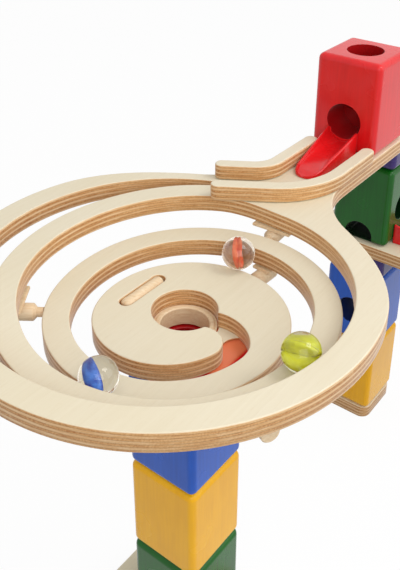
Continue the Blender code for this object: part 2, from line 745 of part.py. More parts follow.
def make_back_stack(parent, paints, wood):
    """Column of blocks under the arm's pad, with the middle rail clamped in it."""
    size = (BLOCK_WIDE, BLOCK_WIDE, BLOCK_LONG)
    half = BLOCK_LONG / 2.0
    side = BLOCK_WIDE / 2.0
    outline = rounded_rectangle(-side, side, -side, side, BASE_CORNER)
    base = make_base("column_base", parent, wood, outline, BASE_TOP)
    yellow = make_block("yellow_block", parent, paints["yellow"], size,
                        (0, 0, YELLOW_BOTTOM + half))
    blue = make_block("blue_block", parent, paints["blue"], size, (0, 0, BLUE_BOTTOM + half))
    lower = make_block("lower_spacer", parent, paints["purple"],
                       (BLOCK_WIDE, BLOCK_WIDE, LOW_SPACER),
                       (0, 0, LOW_SPACER_BOTTOM + LOW_SPACER / 2.0))
    green = make_block("green_block", parent, paints["green"], size,
                       (0, 0, GREEN_BOTTOM + half))
    upper = make_block("upper_spacer", parent, paints["purple"],
                       (BLOCK_WIDE, BLOCK_WIDE, HIGH_SPACER),
                       (0, 0, HIGH_SPACER_BOTTOM + HIGH_SPACER / 2.0))
    rail_x = side + RAIL_MARGIN
    rail = rounded_rectangle(-rail_x, rail_x, RAIL_LEFT - RAIL_LENGTH, RAIL_LEFT, BASE_CORNER)
    rail = make_base("middle_rail", parent, wood, rail, RAIL_BOTTOM + PLY)
    bore(blue, (0, 0, BLUE_BOTTOM + TUNNEL_LIFT), (1, 0, 0), TUNNEL_RADIUS, BLOCK_WIDE + 5.0)
    arch_cut(green, GREEN_BOTTOM, BLOCK_WIDE + 5.0, ARCH_LIFT)
    bore(green, (0, 0, GREEN_BOTTOM + TUNNEL_LIFT), (0, 1, 0), TUNNEL_RADIUS, BLOCK_WIDE + 5.0)
    pin_holes(base, [(0.0, -1)])
    for piece, bottom, top in ((yellow, YELLOW_BOTTOM, YELLOW_BOTTOM + BLOCK_LONG),
                               (blue, BLUE_BOTTOM, BLUE_BOTTOM + BLOCK_LONG),
                               (lower, LOW_SPACER_BOTTOM, LOW_SPACER_BOTTOM + LOW_SPACER),
                               (green, GREEN_BOTTOM, GREEN_BOTTOM + BLOCK_LONG)):
        pin_holes(piece, [(bottom, 1), (top, -1)])
    pin_holes(upper, [(HIGH_SPACER_BOTTOM, 1)])
    for x, y in pin_sides():
        bore(rail, (x, y, -PLY / 2.0), (0, 0, 1), PIN_RADIUS + FIT, PLY + 2.0, 16)
    for name, seat_low, seat_high in (("base_pin", BASE_TOP, YELLOW_BOTTOM),
                                      ("yellow_pin", BLUE_BOTTOM - SEAT, BLUE_BOTTOM),
                                      ("blue_pin", LOW_SPACER_BOTTOM - SEAT, LOW_SPACER_BOTTOM),
                                      ("rail_pin", RAIL_BOTTOM - SEAT, GREEN_BOTTOM),
                                      ("green_pin", HIGH_SPACER_BOTTOM - SEAT,
                                       HIGH_SPACER_BOTTOM)):
        pin_pair(name, parent, seat_low, seat_high, wood)
    ramp = add_mesh("rail_ramp", ramp_mesh(), paints["red"], parent,
                    (0, -side - SEAT, RAIL_BOTTOM + PLY + SEAT))
    ramp.rotation_euler = (0.0, 0.0, math.radians(90.0))
    round_edges(ramp, 0.6, 1)


def make_middle_stack(parent, paints, wood):
    """Column under the catch hole; marbles fall down its bore and roll out below."""
    half_x = FOOT_WIDE / 2.0
    half_y = FOOT_LONG / 2.0
    outline = rounded_rectangle(-half_x, half_x, -half_y, half_y, 2.0 * BASE_CORNER)
    base = make_base("centre_base", parent, wood, outline, BASE_TOP)
    pin_holes(base, [(0.0, -1)])
    size = (BLOCK_WIDE, BLOCK_WIDE, BLOCK_LONG)
    colours = ("green", "yellow", "blue")
    names = ("centre_low_block", "centre_mid_block", "centre_high_block")
    for level, (name, colour) in enumerate(zip(names, colours)):
        bottom = CENTRE_BOTTOMS[level]
        block = make_block(name, parent, paints[colour], size, (0, 0, bottom + BLOCK_LONG / 2.0))
        if level:
            bore(block, (0, 0, bottom + BLOCK_LONG / 2.0), (0, 0, 1), TUNNEL_RADIUS,
                 BLOCK_LONG + 5.0)
        else:
            arch_cut(block, bottom, BLOCK_WIDE + 5.0, TUNNEL_RADIUS)
            reach = BLOCK_LONG - TUNNEL_RADIUS + 5.0
            bore(block, (0, 0, bottom + TUNNEL_RADIUS + reach / 2.0), (0, 0, 1),
                 TUNNEL_RADIUS - 0.4, reach)
        pin_holes(block, [(bottom, 1), (bottom + BLOCK_LONG, -1)])
        pin_pair(name + "_pin", parent, bottom - SEAT, bottom, wood)
    catch_size = (BLOCK_WIDE, CATCH_LEFT + CATCH_RIGHT, CATCH_HIGH)
    catch_centre = (0, (CATCH_LEFT - CATCH_RIGHT) / 2.0, CATCH_BOTTOM + CATCH_HIGH / 2.0)
    catch = make_block("catch_block", parent, paints["red"], catch_size, catch_centre)
    bore(catch, (0, 0, CATCH_BOTTOM + CATCH_HIGH / 2.0), (0, 0, 1), TUNNEL_RADIUS,
         CATCH_HIGH + 5.0)
    seat = PLUG_SUNK + SEAT
    bore(catch, (0, 0, CATCH_TOP - (seat - 2.0) / 2.0), (0, 0, 1), PLUG_RADIUS + FIT, seat + 2.0)
    pin_holes(catch, [(CATCH_BOTTOM, 1)])
    pin_pair("catch_pin", parent, CATCH_BOTTOM - SEAT, CATCH_BOTTOM, wood)
    high = PLUG_SUNK + PLUG_PROUD
    middle = CATCH_TOP - PLUG_SUNK + high / 2.0
    plug = add_mesh("catch_ring", rod_mesh(PLUG_RADIUS, high, 40), wood, parent,
                    (0, 0, middle))
    round_edges(plug, 0.5, 1)
    bore(plug, (0, 0, 0), (0, 0, 1), PLUG_BORE, high + 4.0, 40)


def main():
    """Build the whole marble run."""
    clear_scene()
    wood = paint("birch_plywood", "E8DDBF", 0.55)
    paints = {
        "red": paint("red_lacquer", "E0201F", 0.3),
        "green": paint("green_lacquer", "1F5B20", 0.4),
        "blue": paint("blue_lacquer", "2A58B0", 0.4),
        "yellow": paint("yellow_lacquer", "D49F22", 0.4),
        "purple": paint("purple_lacquer", "4A3B7A", 0.4),
    }
    glass = {
        "marble_yellow": paint("yellow_glass", "E8D26A", 0.05),
        "marble_blue": paint("blue_glass", "3F6FD0", 0.05),
        "marble_orange": paint("orange_glass", "E08030", 0.05),
    }
    spiral = add_empty("spiral_frame", (*RING_CENTRE, PLATE_TOP))
    arm = add_empty("arm_frame", (*RING_CENTRE, PLATE_TOP), ARM_ANGLE)
    stack_at = Vector(RING_CENTRE) + arm_point(STACK_ALONG, STACK_RIGHT)
    stack = add_empty("stack_frame", (stack_at.x, stack_at.y, 0.0), ARM_ANGLE)
    middle = add_empty("middle_frame", (0, 0, 0), ARM_ANGLE)
    make_spiral_plate(spiral, wood)
    make_guides(spiral, wood)
    make_dowel(spiral, wood)
    make_pegs(spiral, wood)
    make_marbles(spiral, glass)
    make_start(arm, paints["red"])
    make_back_stack(stack, paints, wood)
    make_middle_stack(middle, paints, wood)


main()
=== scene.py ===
# %% [markdown]
# # Wooden marble run
# A spiral is sawn out of one sheet of birch plywood and let down into a track.
# Two stacks of painted blocks carry it, and three glass marbles roll on it.
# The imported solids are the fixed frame. Each cell below dresses one kind of piece.

# %% Load the frame
import math

import bmesh
import bpy
from mathutils import Matrix, Vector


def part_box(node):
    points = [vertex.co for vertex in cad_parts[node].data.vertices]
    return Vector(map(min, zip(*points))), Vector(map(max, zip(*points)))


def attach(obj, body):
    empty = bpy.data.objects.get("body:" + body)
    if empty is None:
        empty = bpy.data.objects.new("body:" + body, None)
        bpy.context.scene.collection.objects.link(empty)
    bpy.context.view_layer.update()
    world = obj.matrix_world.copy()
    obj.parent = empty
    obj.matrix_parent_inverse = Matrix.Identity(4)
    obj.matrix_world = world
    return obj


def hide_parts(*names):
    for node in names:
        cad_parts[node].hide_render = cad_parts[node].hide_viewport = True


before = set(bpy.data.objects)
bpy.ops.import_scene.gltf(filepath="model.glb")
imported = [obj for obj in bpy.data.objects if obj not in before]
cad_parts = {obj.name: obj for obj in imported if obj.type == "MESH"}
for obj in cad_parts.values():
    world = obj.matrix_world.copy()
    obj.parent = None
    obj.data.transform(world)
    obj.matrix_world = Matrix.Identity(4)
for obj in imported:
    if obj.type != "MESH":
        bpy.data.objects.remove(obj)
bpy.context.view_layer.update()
MM = 0.001

# %% [markdown]
# ## Camera
# The photograph looks down on the spiral from close by. The eye's place and the lens were
# worked out from the ring, the turns and the upright block edges. The picture is the upper
# part of a tall frame. Tilting the camera would lean the upright edges another way, so the
# lens is shifted down instead.

# %% Camera
camera_data = bpy.data.cameras.new("camera")
camera_data.lens = 50.49
camera_data.sensor_width = 36.0
camera_data.shift_x = 0.0024
camera_data.shift_y = -0.2426
camera_data.clip_start = 0.01
camera = bpy.data.objects.new("camera", camera_data)
camera.location = (0.0062, -0.2929, 0.4252)
camera.rotation_euler = (math.radians(64.851), 0.0, 0.0)
bpy.context.scene.collection.objects.link(camera)
bpy.context.scene.camera = camera
bpy.context.scene.view_settings.view_transform = "Standard"
print("camera at", tuple(round(v, 3) for v in camera.location))

# %% [markdown]
# ## Small helpers
# Every finish and node tree is built here, node by node. One function adds a node to any
# tree, with its settings and its links, so that a cell reads as a list of its nodes. Another
# function turns a screen colour into the linear light that a shader works with.

# %% Helpers for nodes and colours
MATH = "ShaderNodeMath"
VECTOR_MATH = "ShaderNodeVectorMath"
MAPPING = "ShaderNodeMapping"
NOISE = "ShaderNodeTexNoise"
RANGE = "ShaderNodeMapRange"
RAMP = "ShaderNodeValToRGB"
MIX = "ShaderNodeMix"
# A Mix node has an A and a B for each type of value, so its two colours go by number
COLOUR_A = 6
COLOUR_B = 7


def linear(screen):
    """Linear colour from an sRGB hex value."""
    parts = [int(screen[i:i + 2], 16) / 255.0 for i in (0, 2, 4)]
    bent = [c / 12.92 if c <= 0.04045 else ((c + 0.055) / 1.055) ** 2.4 for c in parts]
    return (*bent, 1.0)


def connect(tree, node, links):
    """Fill inputs with values, with sockets, or with the first open output of other nodes."""
    for key, value in links.items():
        if isinstance(value, bpy.types.Node):
            value = next(socket for socket in value.outputs if socket.enabled)
        if isinstance(value, bpy.types.NodeSocket):
            tree.links.new(value, node.inputs[key])
        else:
            node.inputs[key].default_value = value


def add_node(tree, kind, links=None, stops=None, **settings):
    """Add a node with its settings and links; a colour ramp also gets its stops."""
    made = tree.nodes.new(kind)
    for key, value in settings.items():
        setattr(made, key, value)
    for number, (position, colour) in enumerate((stops or {}).items()):
        elements = made.color_ramp.elements
        stop = elements[number] if number < len(elements) else elements.new(position)
        stop.position = position
        stop.color = linear(colour)
    connect(tree, made, links or {})
    return made


def new_finish(name):
    """A material with its tree and its Principled shader."""
    finish = bpy.data.materials.new(name)
    finish.use_nodes = True
    return finish, finish.node_tree, finish.node_tree.nodes["Principled BSDF"]


print("half grey on the screen is", round(linear("808080")[0], 3), "in linear light")

# %% [markdown]
# ## Birch plywood
# Seven thin sheets of birch are glued with their grain crossed, then sawn and sanded. The
# face is a pale, almost even cream with faint long grain. The sawn edge shows the layers as
# stripes: a layer cut across its grain is brown and rough, its neighbour is cut along the
# grain and stays pale, and they swap where the edge turns a corner. Stripes could be painted
# by height, but the track slopes and its layers slope with it. So each point of a sheet
# keeps its depth below the face as an attribute, and the shader compares the direction of
# the edge with the grain.

# %% Plywood finish
PLY = 9.0
LAYERS = 7
GRAIN_ANGLE = 52.0
GRAIN_TURN = (0.0, 0.0, -math.radians(GRAIN_ANGLE))
TO_MM = (1000.0, 1000.0, 1000.0)


def plywood():
    """Bare birch plywood: cream face with a soft gloss, striped edge with fuzzy fibres."""
    finish, tree, shader = new_finish("birch_plywood")
    place = add_node(tree, "ShaderNodeTexCoord").outputs
    depth = add_node(tree, "ShaderNodeAttribute", attribute_name="ply_depth").outputs["Fac"]
    mm = add_node(tree, MAPPING, {"Vector": place["Object"], "Rotation": GRAIN_TURN,
                                  "Scale": TO_MM})
    # Face: soft clouds 60 mm wide, long grain 1.4 mm wide and 45 mm long, flecks of 5 mm
    clouds = add_node(tree, NOISE, {"Vector": mm, "Scale": 1 / 60.0, "Detail": 2.0})
    long_way = add_node(tree, MAPPING, {"Vector": mm, "Scale": (1 / 45.0, 1 / 1.4, 1 / 20.0)})
    grain = add_node(tree, NOISE, {"Vector": long_way, "Scale": 1.0, "Detail": 3.0,
                                   "Roughness": 0.6})
    fleck_way = add_node(tree, MAPPING, {"Vector": mm, "Scale": (1 / 5.0, 1 / 0.45, 1 / 5.0)})
    fleck = add_node(tree, NOISE, {"Vector": fleck_way, "Scale": 1.0, "Detail": 1.0})
    face = add_node(tree, RAMP, {"Fac": grain}, {0.25: "E4D9BF", 0.75: "E9DFC7"})
    tint = add_node(tree, RANGE, {"Value": clouds, "From Min": 0.3, "From Max": 0.7,
                                  "To Max": 0.25})
    toned = add_node(tree, MIX, {"Factor": tint, COLOUR_A: face, COLOUR_B: linear("DECDA6")},
                     data_type="RGBA")
    spots = add_node(tree, RANGE, {"Value": fleck, "From Min": 0.62, "From Max": 0.74,
                                   "To Max": 0.1})
    veneer = add_node(tree, MIX, {"Factor": spots, COLOUR_A: toned,
                                  COLOUR_B: linear("C9A873")}, data_type="RGBA")
    # Edge: which layer, and whether it is cut across its grain
    count = add_node(tree, MATH, {0: depth, 1: LAYERS / PLY}, operation="MULTIPLY")
    pair = add_node(tree, MATH, {0: count, 1: 2.0}, operation="FLOORED_MODULO")
    odd = add_node(tree, MATH, {0: pair, 1: 1.0}, operation="GREATER_THAN")
    along = (math.cos(math.radians(GRAIN_ANGLE)), math.sin(math.radians(GRAIN_ANGLE)), 0.0)
    facing = add_node(tree, VECTOR_MATH, {0: place["Normal"], 1: along},
                      operation="DOT_PRODUCT")
    across = add_node(tree, MATH, {0: facing, 1: facing}, operation="MULTIPLY")
    flipped = add_node(tree, MATH, {0: 1.0, 1: across}, operation="SUBTRACT")
    ends = add_node(tree, MIX, {"Factor": odd, "A": across, "B": flipped}, data_type="FLOAT")
    # Streaks on the edge, 9 mm long and 0.35 mm high, and pores of 0.7 mm: the real ones are
    # finer, and are drawn as coarse as they need to be to show
    plan = add_node(tree, "ShaderNodeSeparateXYZ", {0: mm}).outputs
    edge_point = add_node(tree, "ShaderNodeCombineXYZ", {0: plan[0], 1: plan[1], 2: depth})
    edge_way = add_node(tree, MAPPING, {"Vector": edge_point,
                                        "Scale": (1 / 9.0, 1 / 9.0, 1 / 0.35)})
    streak = add_node(tree, NOISE, {"Vector": edge_way, "Scale": 1.0, "Detail": 4.0,
                                    "Roughness": 0.65})
    brown = add_node(tree, RANGE, {"Value": streak, "From Min": 0.3, "From Max": 0.7,
                                   "To Min": -0.05, "To Max": 0.5})
    pores = add_node(tree, NOISE, {"Vector": edge_point, "Scale": 1 / 0.7, "Detail": 1.0})
    speck = add_node(tree, RANGE, {"Value": pores, "From Min": 0.35, "From Max": 0.65,
                                   "To Min": 0.75, "To Max": 0.35})
    dark = add_node(tree, MATH, {0: ends, 1: speck, 2: brown}, operation="MULTIPLY_ADD",
                    use_clamp=True)
    edge = add_node(tree, RAMP, {"Fac": dark}, {0.0: "ECCEA4", 0.5: "D5A56D", 1.0: "AE713A"})
    # Glue lines between the layers, fading out at a seventh of a layer
    line = add_node(tree, MATH, {0: count, 1: 0.5}, operation="PINGPONG")
    glue = add_node(tree, RANGE, {"Value": line, "From Max": 0.14, "To Min": 0.55,
                                  "To Max": 0.0})
    glued = add_node(tree, MIX, {"Factor": glue, COLOUR_A: edge, COLOUR_B: linear("7A4E28")},
                     data_type="RGBA")
    # Face or edge, by how level the surface is
    up = add_node(tree, "ShaderNodeSeparateXYZ", {0: place["Normal"]}).outputs[2]
    level = add_node(tree, MATH, {0: up}, operation="ABSOLUTE")
    flat = add_node(tree, RANGE, {"Value": level, "From Min": 0.35, "From Max": 0.85})
    colour = add_node(tree, MIX, {"Factor": flat, COLOUR_A: glued, COLOUR_B: veneer},
                      data_type="RGBA")
    relief = add_node(tree, MIX, {"Factor": flat, "A": streak, "B": grain}, data_type="FLOAT")
    bump = add_node(tree, "ShaderNodeBump", {"Strength": 0.14, "Distance": 0.3 * MM,
                                             "Height": relief})
    # Sawn fibres catch the light on an edge that is seen at a slant
    fuzz = add_node(tree, RANGE, {"Value": flat, "To Min": 0.5, "To Max": 0.0})
    connect(tree, shader, {"Base Color": colour, "Normal": bump, "Roughness": 0.5, "IOR": 1.45,
                           "Sheen Weight": fuzz, "Sheen Roughness": 0.35})
    return finish


PLYWOOD = plywood()
print("finish:", PLYWOOD.name, len(PLYWOOD.node_tree.nodes), "nodes")

# %% [markdown]
# ## Turned beech
# The dowel, the spacers and the catch ring are turned from beech and left bare: a warm tan,
# with fine dark flecks about 2 mm long and a faint straight grain. A wood image could be
# laid on them, but they are small and round, so two stretched noises in the solid do it
# without any seam.

# %% Beech finish
def beech():
    """Bare turned beech: warm tan with short dark flecks, smooth from the lathe."""
    finish, tree, shader = new_finish("turned_beech")
    place = add_node(tree, "ShaderNodeTexCoord").outputs["Object"]
    # Grain 14 mm long and 0.9 mm wide, flecks 2.2 mm long and 0.4 mm wide
    long_way = add_node(tree, MAPPING, {"Vector": place, "Rotation": GRAIN_TURN,
                                        "Scale": (1000 / 14.0, 1000 / 0.9, 1000 / 0.9)})
    grain = add_node(tree, NOISE, {"Vector": long_way, "Scale": 1.0, "Detail": 3.0,
                                   "Roughness": 0.6})
    fleck_way = add_node(tree, MAPPING, {"Vector": place, "Rotation": GRAIN_TURN,
                                         "Scale": (1000 / 2.2, 1000 / 0.4, 1000 / 0.4)})
    fleck = add_node(tree, NOISE, {"Vector": fleck_way, "Scale": 1.0})
    tone = add_node(tree, RAMP, {"Fac": grain}, {0.3: "E0C198", 0.72: "F0DBBA"})
    spots = add_node(tree, RANGE, {"Value": fleck, "From Min": 0.58, "From Max": 0.7,
                                   "To Max": 0.2})
    colour = add_node(tree, MIX, {"Factor": spots, COLOUR_A: tone, COLOUR_B: linear("C4955F")},
                      data_type="RGBA")
    bump = add_node(tree, "ShaderNodeBump", {"Strength": 0.2, "Distance": 0.2 * MM,
                                             "Height": grain})
    connect(tree, shader, {"Base Color": colour, "Normal": bump, "Roughness": 0.48,
                           "IOR": 1.45})
    return finish


BEECH = beech()
print("finish:", BEECH.name, len(BEECH.node_tree.nodes), "nodes")

# %% [markdown]
# ## Lacquered blocks
# The blocks are beech dipped in coloured lacquer. The film is glossy but thin, so the grain
# underneath still ripples it a little, and the colour is not quite even. Less light gets
# into a bore, so a bore has a darker coat of its own, which is painted shade. On the catch
# block the top is painted a pale orange, a painted reflection of the plywood walls around it.
# One function makes all these coats, because they differ only in colour, gloss and painted light.

# %% Lacquer finishes
def lacquer(name, body_colour, deep_colour, gloss=0.0, reflected_colour=None):
    """Coloured lacquer over wood: glossy film, faint upright grain below it."""
    finish, tree, shader = new_finish(name)
    place = add_node(tree, "ShaderNodeTexCoord").outputs
    # Grain 1.6 mm wide and 30 mm long, clouds 25 mm wide
    grain_way = add_node(tree, MAPPING, {"Vector": place["Object"],
                                         "Scale": (1000 / 1.6, 1000 / 1.6, 1000 / 30.0)})
    grain = add_node(tree, NOISE, {"Vector": grain_way, "Scale": 1.0, "Detail": 3.0})
    cloud = add_node(tree, NOISE, {"Vector": place["Object"], "Scale": 1000 / 25.0,
                                   "Detail": 2.0})
    both = add_node(tree, MIX, {"Factor": 0.45, "A": cloud, "B": grain}, data_type="FLOAT")
    colour = add_node(tree, RAMP, {"Fac": both}, {0.32: deep_colour, 0.66: body_colour})
    # Painted reflection: faces that look up are paled towards a colour that stands for the plywood
    # walls reflected in the lacquer
    if reflected_colour:
        up = add_node(tree, "ShaderNodeSeparateXYZ", {0: place["Normal"]}).outputs[2]
        reflection_mask = add_node(tree, RANGE, {"Value": up, "From Min": 0.8, "From Max": 0.95,
                                        "To Max": 0.85})
        colour = add_node(tree, MIX, {"Factor": reflection_mask, COLOUR_A: colour,
                                      COLOUR_B: linear(reflected_colour)}, data_type="RGBA")
    bump = add_node(tree, "ShaderNodeBump", {"Strength": 0.12, "Distance": 0.3 * MM,
                                             "Height": grain})
    smear = add_node(tree, RANGE, {"Value": cloud, "To Min": 0.2, "To Max": 0.32})
    connect(tree, shader, {"Base Color": colour, "Normal": bump, "Roughness": smear,
                           "IOR": 1.5, "Specular IOR Level": 0.32, "Sheen Weight": 0.12,
                           "Sheen Roughness": 0.3, "Coat Weight": gloss,
                           "Coat Roughness": 0.12})
    return finish


# For each coat: body colour, deep colour, painted shade inside a bore, weight of the clear coat
COATS = {
    "red_lacquer": ("E6181C", "D41115", "A81014", 0.25),
    "green_lacquer": ("0C6412", "09510D", "06200A", 0.0),
    "blue_lacquer": ("1B5DCA", "164FB0", "0C2056", 0.0),
    "yellow_lacquer": ("FFBE0A", "F2AE06", "B67C0C", 0.0),
    "purple_lacquer": ("402F74", "342566", "241A48", 0.0),
}
LACQUERS = {slot: lacquer(slot.replace("_", "_gloss_"), body, deep, gloss)
            for slot, (body, deep, inside, gloss) in COATS.items()}
# A bore's coat is painted shade: a darker copy of the lacquer for where less light gets in
BORE_SHADES = {slot: lacquer(slot.replace("_", "_bore_shade_"), inside, inside)
         for slot, (body, deep, inside, gloss) in COATS.items()}
# Catch block coat: its top is paled orange, a painted reflection of the plywood walls
PAINTED_REFLECTION_RED = lacquer("red_painted_reflection_lacquer", *COATS["red_lacquer"][:2], reflected_colour="EE8C5E")
print("finishes:", [finish.name for finish in (*LACQUERS.values(), *BORE_SHADES.values(), PAINTED_REFLECTION_RED)])

# %% [markdown]
# ## From outline to piece
# All plan shapes are lists of points in millimetres. A short set of functions makes arcs,
# turns a mesh into a piece at the origin, and bakes modifiers into a plain mesh. Plain
# points could come from a drawing too, but points worked out from named sizes can be changed.

# %% Helpers for shapes
def direction(angle):
    """Unit vector at an angle in degrees."""
    return Vector((math.cos(math.radians(angle)), math.sin(math.radians(angle))))


def arc(centre, radius, start, end, step=2.0):
    """Points on an arc, both ends included."""
    count = max(2, int(abs(end - start) / step + 0.999))
    angles = [start + (end - start) * i / count for i in range(count + 1)]
    return [Vector(centre) + radius * direction(a) for a in angles]


def shift(x, y, z):
    """Matrix that moves a shape, in millimetres."""
    return Matrix.Translation((x, y, z))


def rotate(angle, axis="Z"):
    """Matrix that turns a shape by an angle in degrees."""
    return Matrix.Rotation(math.radians(angle), 4, axis)


def bridge(bm, near, far):
    """Wall between two rings of points."""
    for i in range(len(near)):
        bm.faces.new((near[i - 1], near[i], far[i], far[i - 1]))


def make_piece(name, bm, place, finish):
    """Object at the origin from a bmesh in millimetres, with its place in the mesh."""
    bmesh.ops.transform(bm, matrix=Matrix.Scale(MM, 4) @ place, verts=bm.verts)
    bmesh.ops.recalc_face_normals(bm, faces=bm.faces)
    for face in bm.faces:
        face.smooth = True
    mesh = bpy.data.meshes.new(name)
    bm.to_mesh(mesh)
    bm.free()
    mesh.materials.append(finish)
    piece = bpy.data.objects.new(name, mesh)
    bpy.context.scene.collection.objects.link(piece)
    return piece


def settle(piece, tools=()):
    """Bake the modifiers into a plain mesh, and clear the tools away."""
    graph = bpy.context.evaluated_depsgraph_get()
    piece.data = bpy.data.meshes.new_from_object(piece.evaluated_get(graph))
    piece.modifiers.clear()
    for tool in tools:
        bpy.data.objects.remove(tool, do_unlink=True)
    return piece


def dress(piece, body, slot, *nodes):
    """Let a piece ride a body and stand for its solids."""
    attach(piece, body)
    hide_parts(*nodes)
    print(piece.name, "on", body, len(piece.data.polygons), "faces")
    return piece


print("a quarter circle of radius 10 has", len(arc((0, 0), 10.0, 0.0, 90.0)), "points")

# %% [markdown]
# ## Sawn sheet
# Ring, track, guides, rail and bases are all sawn out of plywood, and their edges are sanded
# a little round. A sheet could be a flat mesh with a Solidify and a Bevel modifier, but the
# bevel breaks on the thin triangles of a spiral. Here the wall is built row by row instead:
# the rows follow a quarter circle at the upper and lower edge, and each point keeps its
# depth below the face for the stripes of the plywood.

# %% Sawn sheet
LEAST_MITRE = 0.6
EASE_ANGLES = (0, 30, 60, 90)


def inward(loop):
    """Unit mitre at each point of a loop, to the left of its way round."""
    mitres = []
    for i, point in enumerate(loop):
        before = (point - loop[i - 1]).normalized()
        after = (loop[(i + 1) % len(loop)] - point).normalized()
        normal = Vector((-before.y - after.y, before.x + after.x)).normalized()
        lean = max(normal.dot(Vector((-after.y, after.x))), LEAST_MITRE)
        mitres.append(normal / lean)
    return mitres


def area(loop):
    """Signed area of a loop."""
    return sum(a.cross(b) for a, b in zip(loop, loop[1:] + loop[:1])) / 2.0


def sawn_sheet(loops, thickness=PLY, ease=0.6):
    """Sheet with its face at height 0; the first loop is its rim, the others are cut out."""
    bm = bmesh.new()
    depth_of = bm.verts.layers.float.new("ply_depth")
    turns = [math.radians(a) for a in EASE_ANGLES]
    upper = [(ease * (1 - math.sin(a)), ease * (1 - math.cos(a))) for a in turns]
    rows = upper + [(inset, thickness - depth) for inset, depth in reversed(upper)]
    rims = ([], [])
    for number, loop in enumerate(loops):
        points = [Vector(p) for p in loop]
        if (area(points) > 0) != (number == 0):
            points.reverse()
        mitres = inward(points)
        rings = []
        for inset, depth in rows:
            ring = []
            for point, mitre in zip(points, mitres):
                spot = point + mitre * inset
                vert = bm.verts.new((spot.x, spot.y, -depth))
                vert[depth_of] = depth
                ring.append(vert)
            rings.append(ring)
        for near, far in zip(rings, rings[1:]):
            bridge(bm, near, far)
        for rim, ring in zip(rims, (rings[0], rings[-1])):
            rim += [bm.edges.get((ring[i], ring[i - 1])) for i in range(len(ring))]
    for rim in rims:
        bmesh.ops.triangle_fill(bm, use_beauty=True, use_dissolve=False, edges=rim)
        for edge in rim:
            edge.smooth = False
    return bm


trial = sawn_sheet([arc((0, 0), 10.0, 0.0, 350.0, 10.0)])
print("a small disc of this sheet has", len(trial.faces), "faces")
trial.free()

# %% [markdown]
# ## The spiral's plan
# Seen from above, one saw cut parts the ring, the track and the centre plate. It could be
# drawn as a true spiral, but a maker sets it out with a compass: half circles about two
# centres, one step smaller each half turn. So the track winds in at an even rate, and the
# gap between two turns stays the same. The names below are the same sizes, in millimetres
# and degrees, that the solids were made from.

# %% Sizes of the spiral
RING_CENTRE = (-9.2, 2.5)
RING_OUTER = 97.5
RING_INNER = 84.7
CENTRE_FRONT = Vector((1.6, -6.0))
CENTRE_ANGLE = -15.0
TURN_STEP = 10.65
TRACK_RADIUS = RING_INNER + 2.1
TRACK_WIDTH = 12.0
EASE_START = 50.0
EASE_END = 80.0
SLOT_START = 80.0
HOLE_RADIUS = 15.0
HOLE_CENTRE = Vector((9.2, -2.5))
TONGUE_END = 1026.3
TONGUE_RADIUS = 10.3
CHANNEL = TONGUE_RADIUS + 11.35
BEND_EASE = 4.0
ARM_ANGLE = 52.0
ARM_RIGHT = 24.0
ARM_LEFT = 18.0
ARM_FILLET = 48.0
NECK_INSET = 6.0
NECK_NEAR = 32.0
NECK_FAR = 74.0
ARM_LENGTH = 243.0
PAD_START = 186.0
PAD_LEFT = 34.0
PAD_CORNER = 10.0
PLATE_TOP = 228.1
DROP = 20.6
# Share of the drop that is reached at an angle along the track
DROP_SHARES = ((76, 0.0), (130, 0.105), (172, 0.17), (225, 0.42), (300, 0.53), (400, 0.58),
               (450, 0.665), (530, 0.865), (620, 1.0))
CENTRE_BACK = CENTRE_FRONT + TURN_STEP * direction(CENTRE_ANGLE)
JOIN_ANGLE = math.degrees(math.atan2(CENTRE_BACK.y, CENTRE_BACK.x))
JOIN_REACH = RING_INNER - CENTRE_BACK.length
print("the ring is", 2 * RING_OUTER, "mm across and the track sinks", DROP, "mm")


# %% Edges of the track
def half_turn(theta):
    """Centre and outer radius of the half turn at an angle along the track."""
    number = int(math.floor((theta - CENTRE_ANGLE) / 180.0 + 1e-9))
    centre = CENTRE_FRONT if number % 2 else CENTRE_BACK
    return centre, TRACK_RADIUS - number * TURN_STEP


def smooth(value):
    """Ease from 0 to 1 with level ends."""
    value = min(max(value, 0.0), 1.0)
    return value * value * (3.0 - 2.0 * value)


def outer_edge(theta):
    """Plan point on the outer edge of the track."""
    centre, radius = half_turn(theta)
    return centre + radius * direction(theta)


def inner_edge(theta):
    """Plan point on the inner edge; the track is wider where it leaves the arm."""
    centre, radius = half_turn(theta)
    extra = TRACK_RADIUS - TRACK_WIDTH - JOIN_REACH
    width = TRACK_WIDTH + extra * (1.0 - smooth((theta - EASE_START) / (EASE_END - EASE_START)))
    return centre + (radius - width) * direction(theta)


def track_points(edge, start, end, step=2.0):
    """Points on one edge of the track between two angles."""
    count = int(abs(end - start) / step)
    return [edge(start + (end - start) * i / count) for i in range(count + 1)]


def circles_meet(first, first_radius, second, second_radius):
    """Point where two circles meet, to the left of the way from the first to the second."""
    apart = second - first
    along = (first_radius ** 2 - second_radius ** 2 + apart.length_squared) / (2.0 * apart.length)
    ahead = apart.normalized()
    side = Vector((-ahead.y, ahead.x))
    return first + along * ahead + math.sqrt(first_radius ** 2 - along ** 2) * side


def angle_from(centre, point):
    """Angle of a point about a centre, in degrees."""
    return math.degrees(math.atan2(point.y - centre.y, point.x - centre.x))


last_centre, last_radius = half_turn(TONGUE_END)
TONGUE = last_centre + (last_radius - TONGUE_RADIUS) * direction(TONGUE_END)
print("the tongue ends round", tuple(round(v, 1) for v in TONGUE))

# %% Saw cut and channel floor
CURL_STEP = 4.0
FLOOR_ROOT = 0.5
FLOOR_RIM = HOLE_RADIUS + 0.6
FLOOR_EDGE = 8.4
FLOOR_FRONT = TONGUE + (TONGUE_RADIUS + 7.7) * direction(12.0)


def arc_between(centre, radius, first, last, more=0.0):
    """Arc about a centre, from the direction of one point to that of another."""
    start = angle_from(centre, first)
    return arc(centre, radius, start, angle_from(centre, last) + more, CURL_STEP)


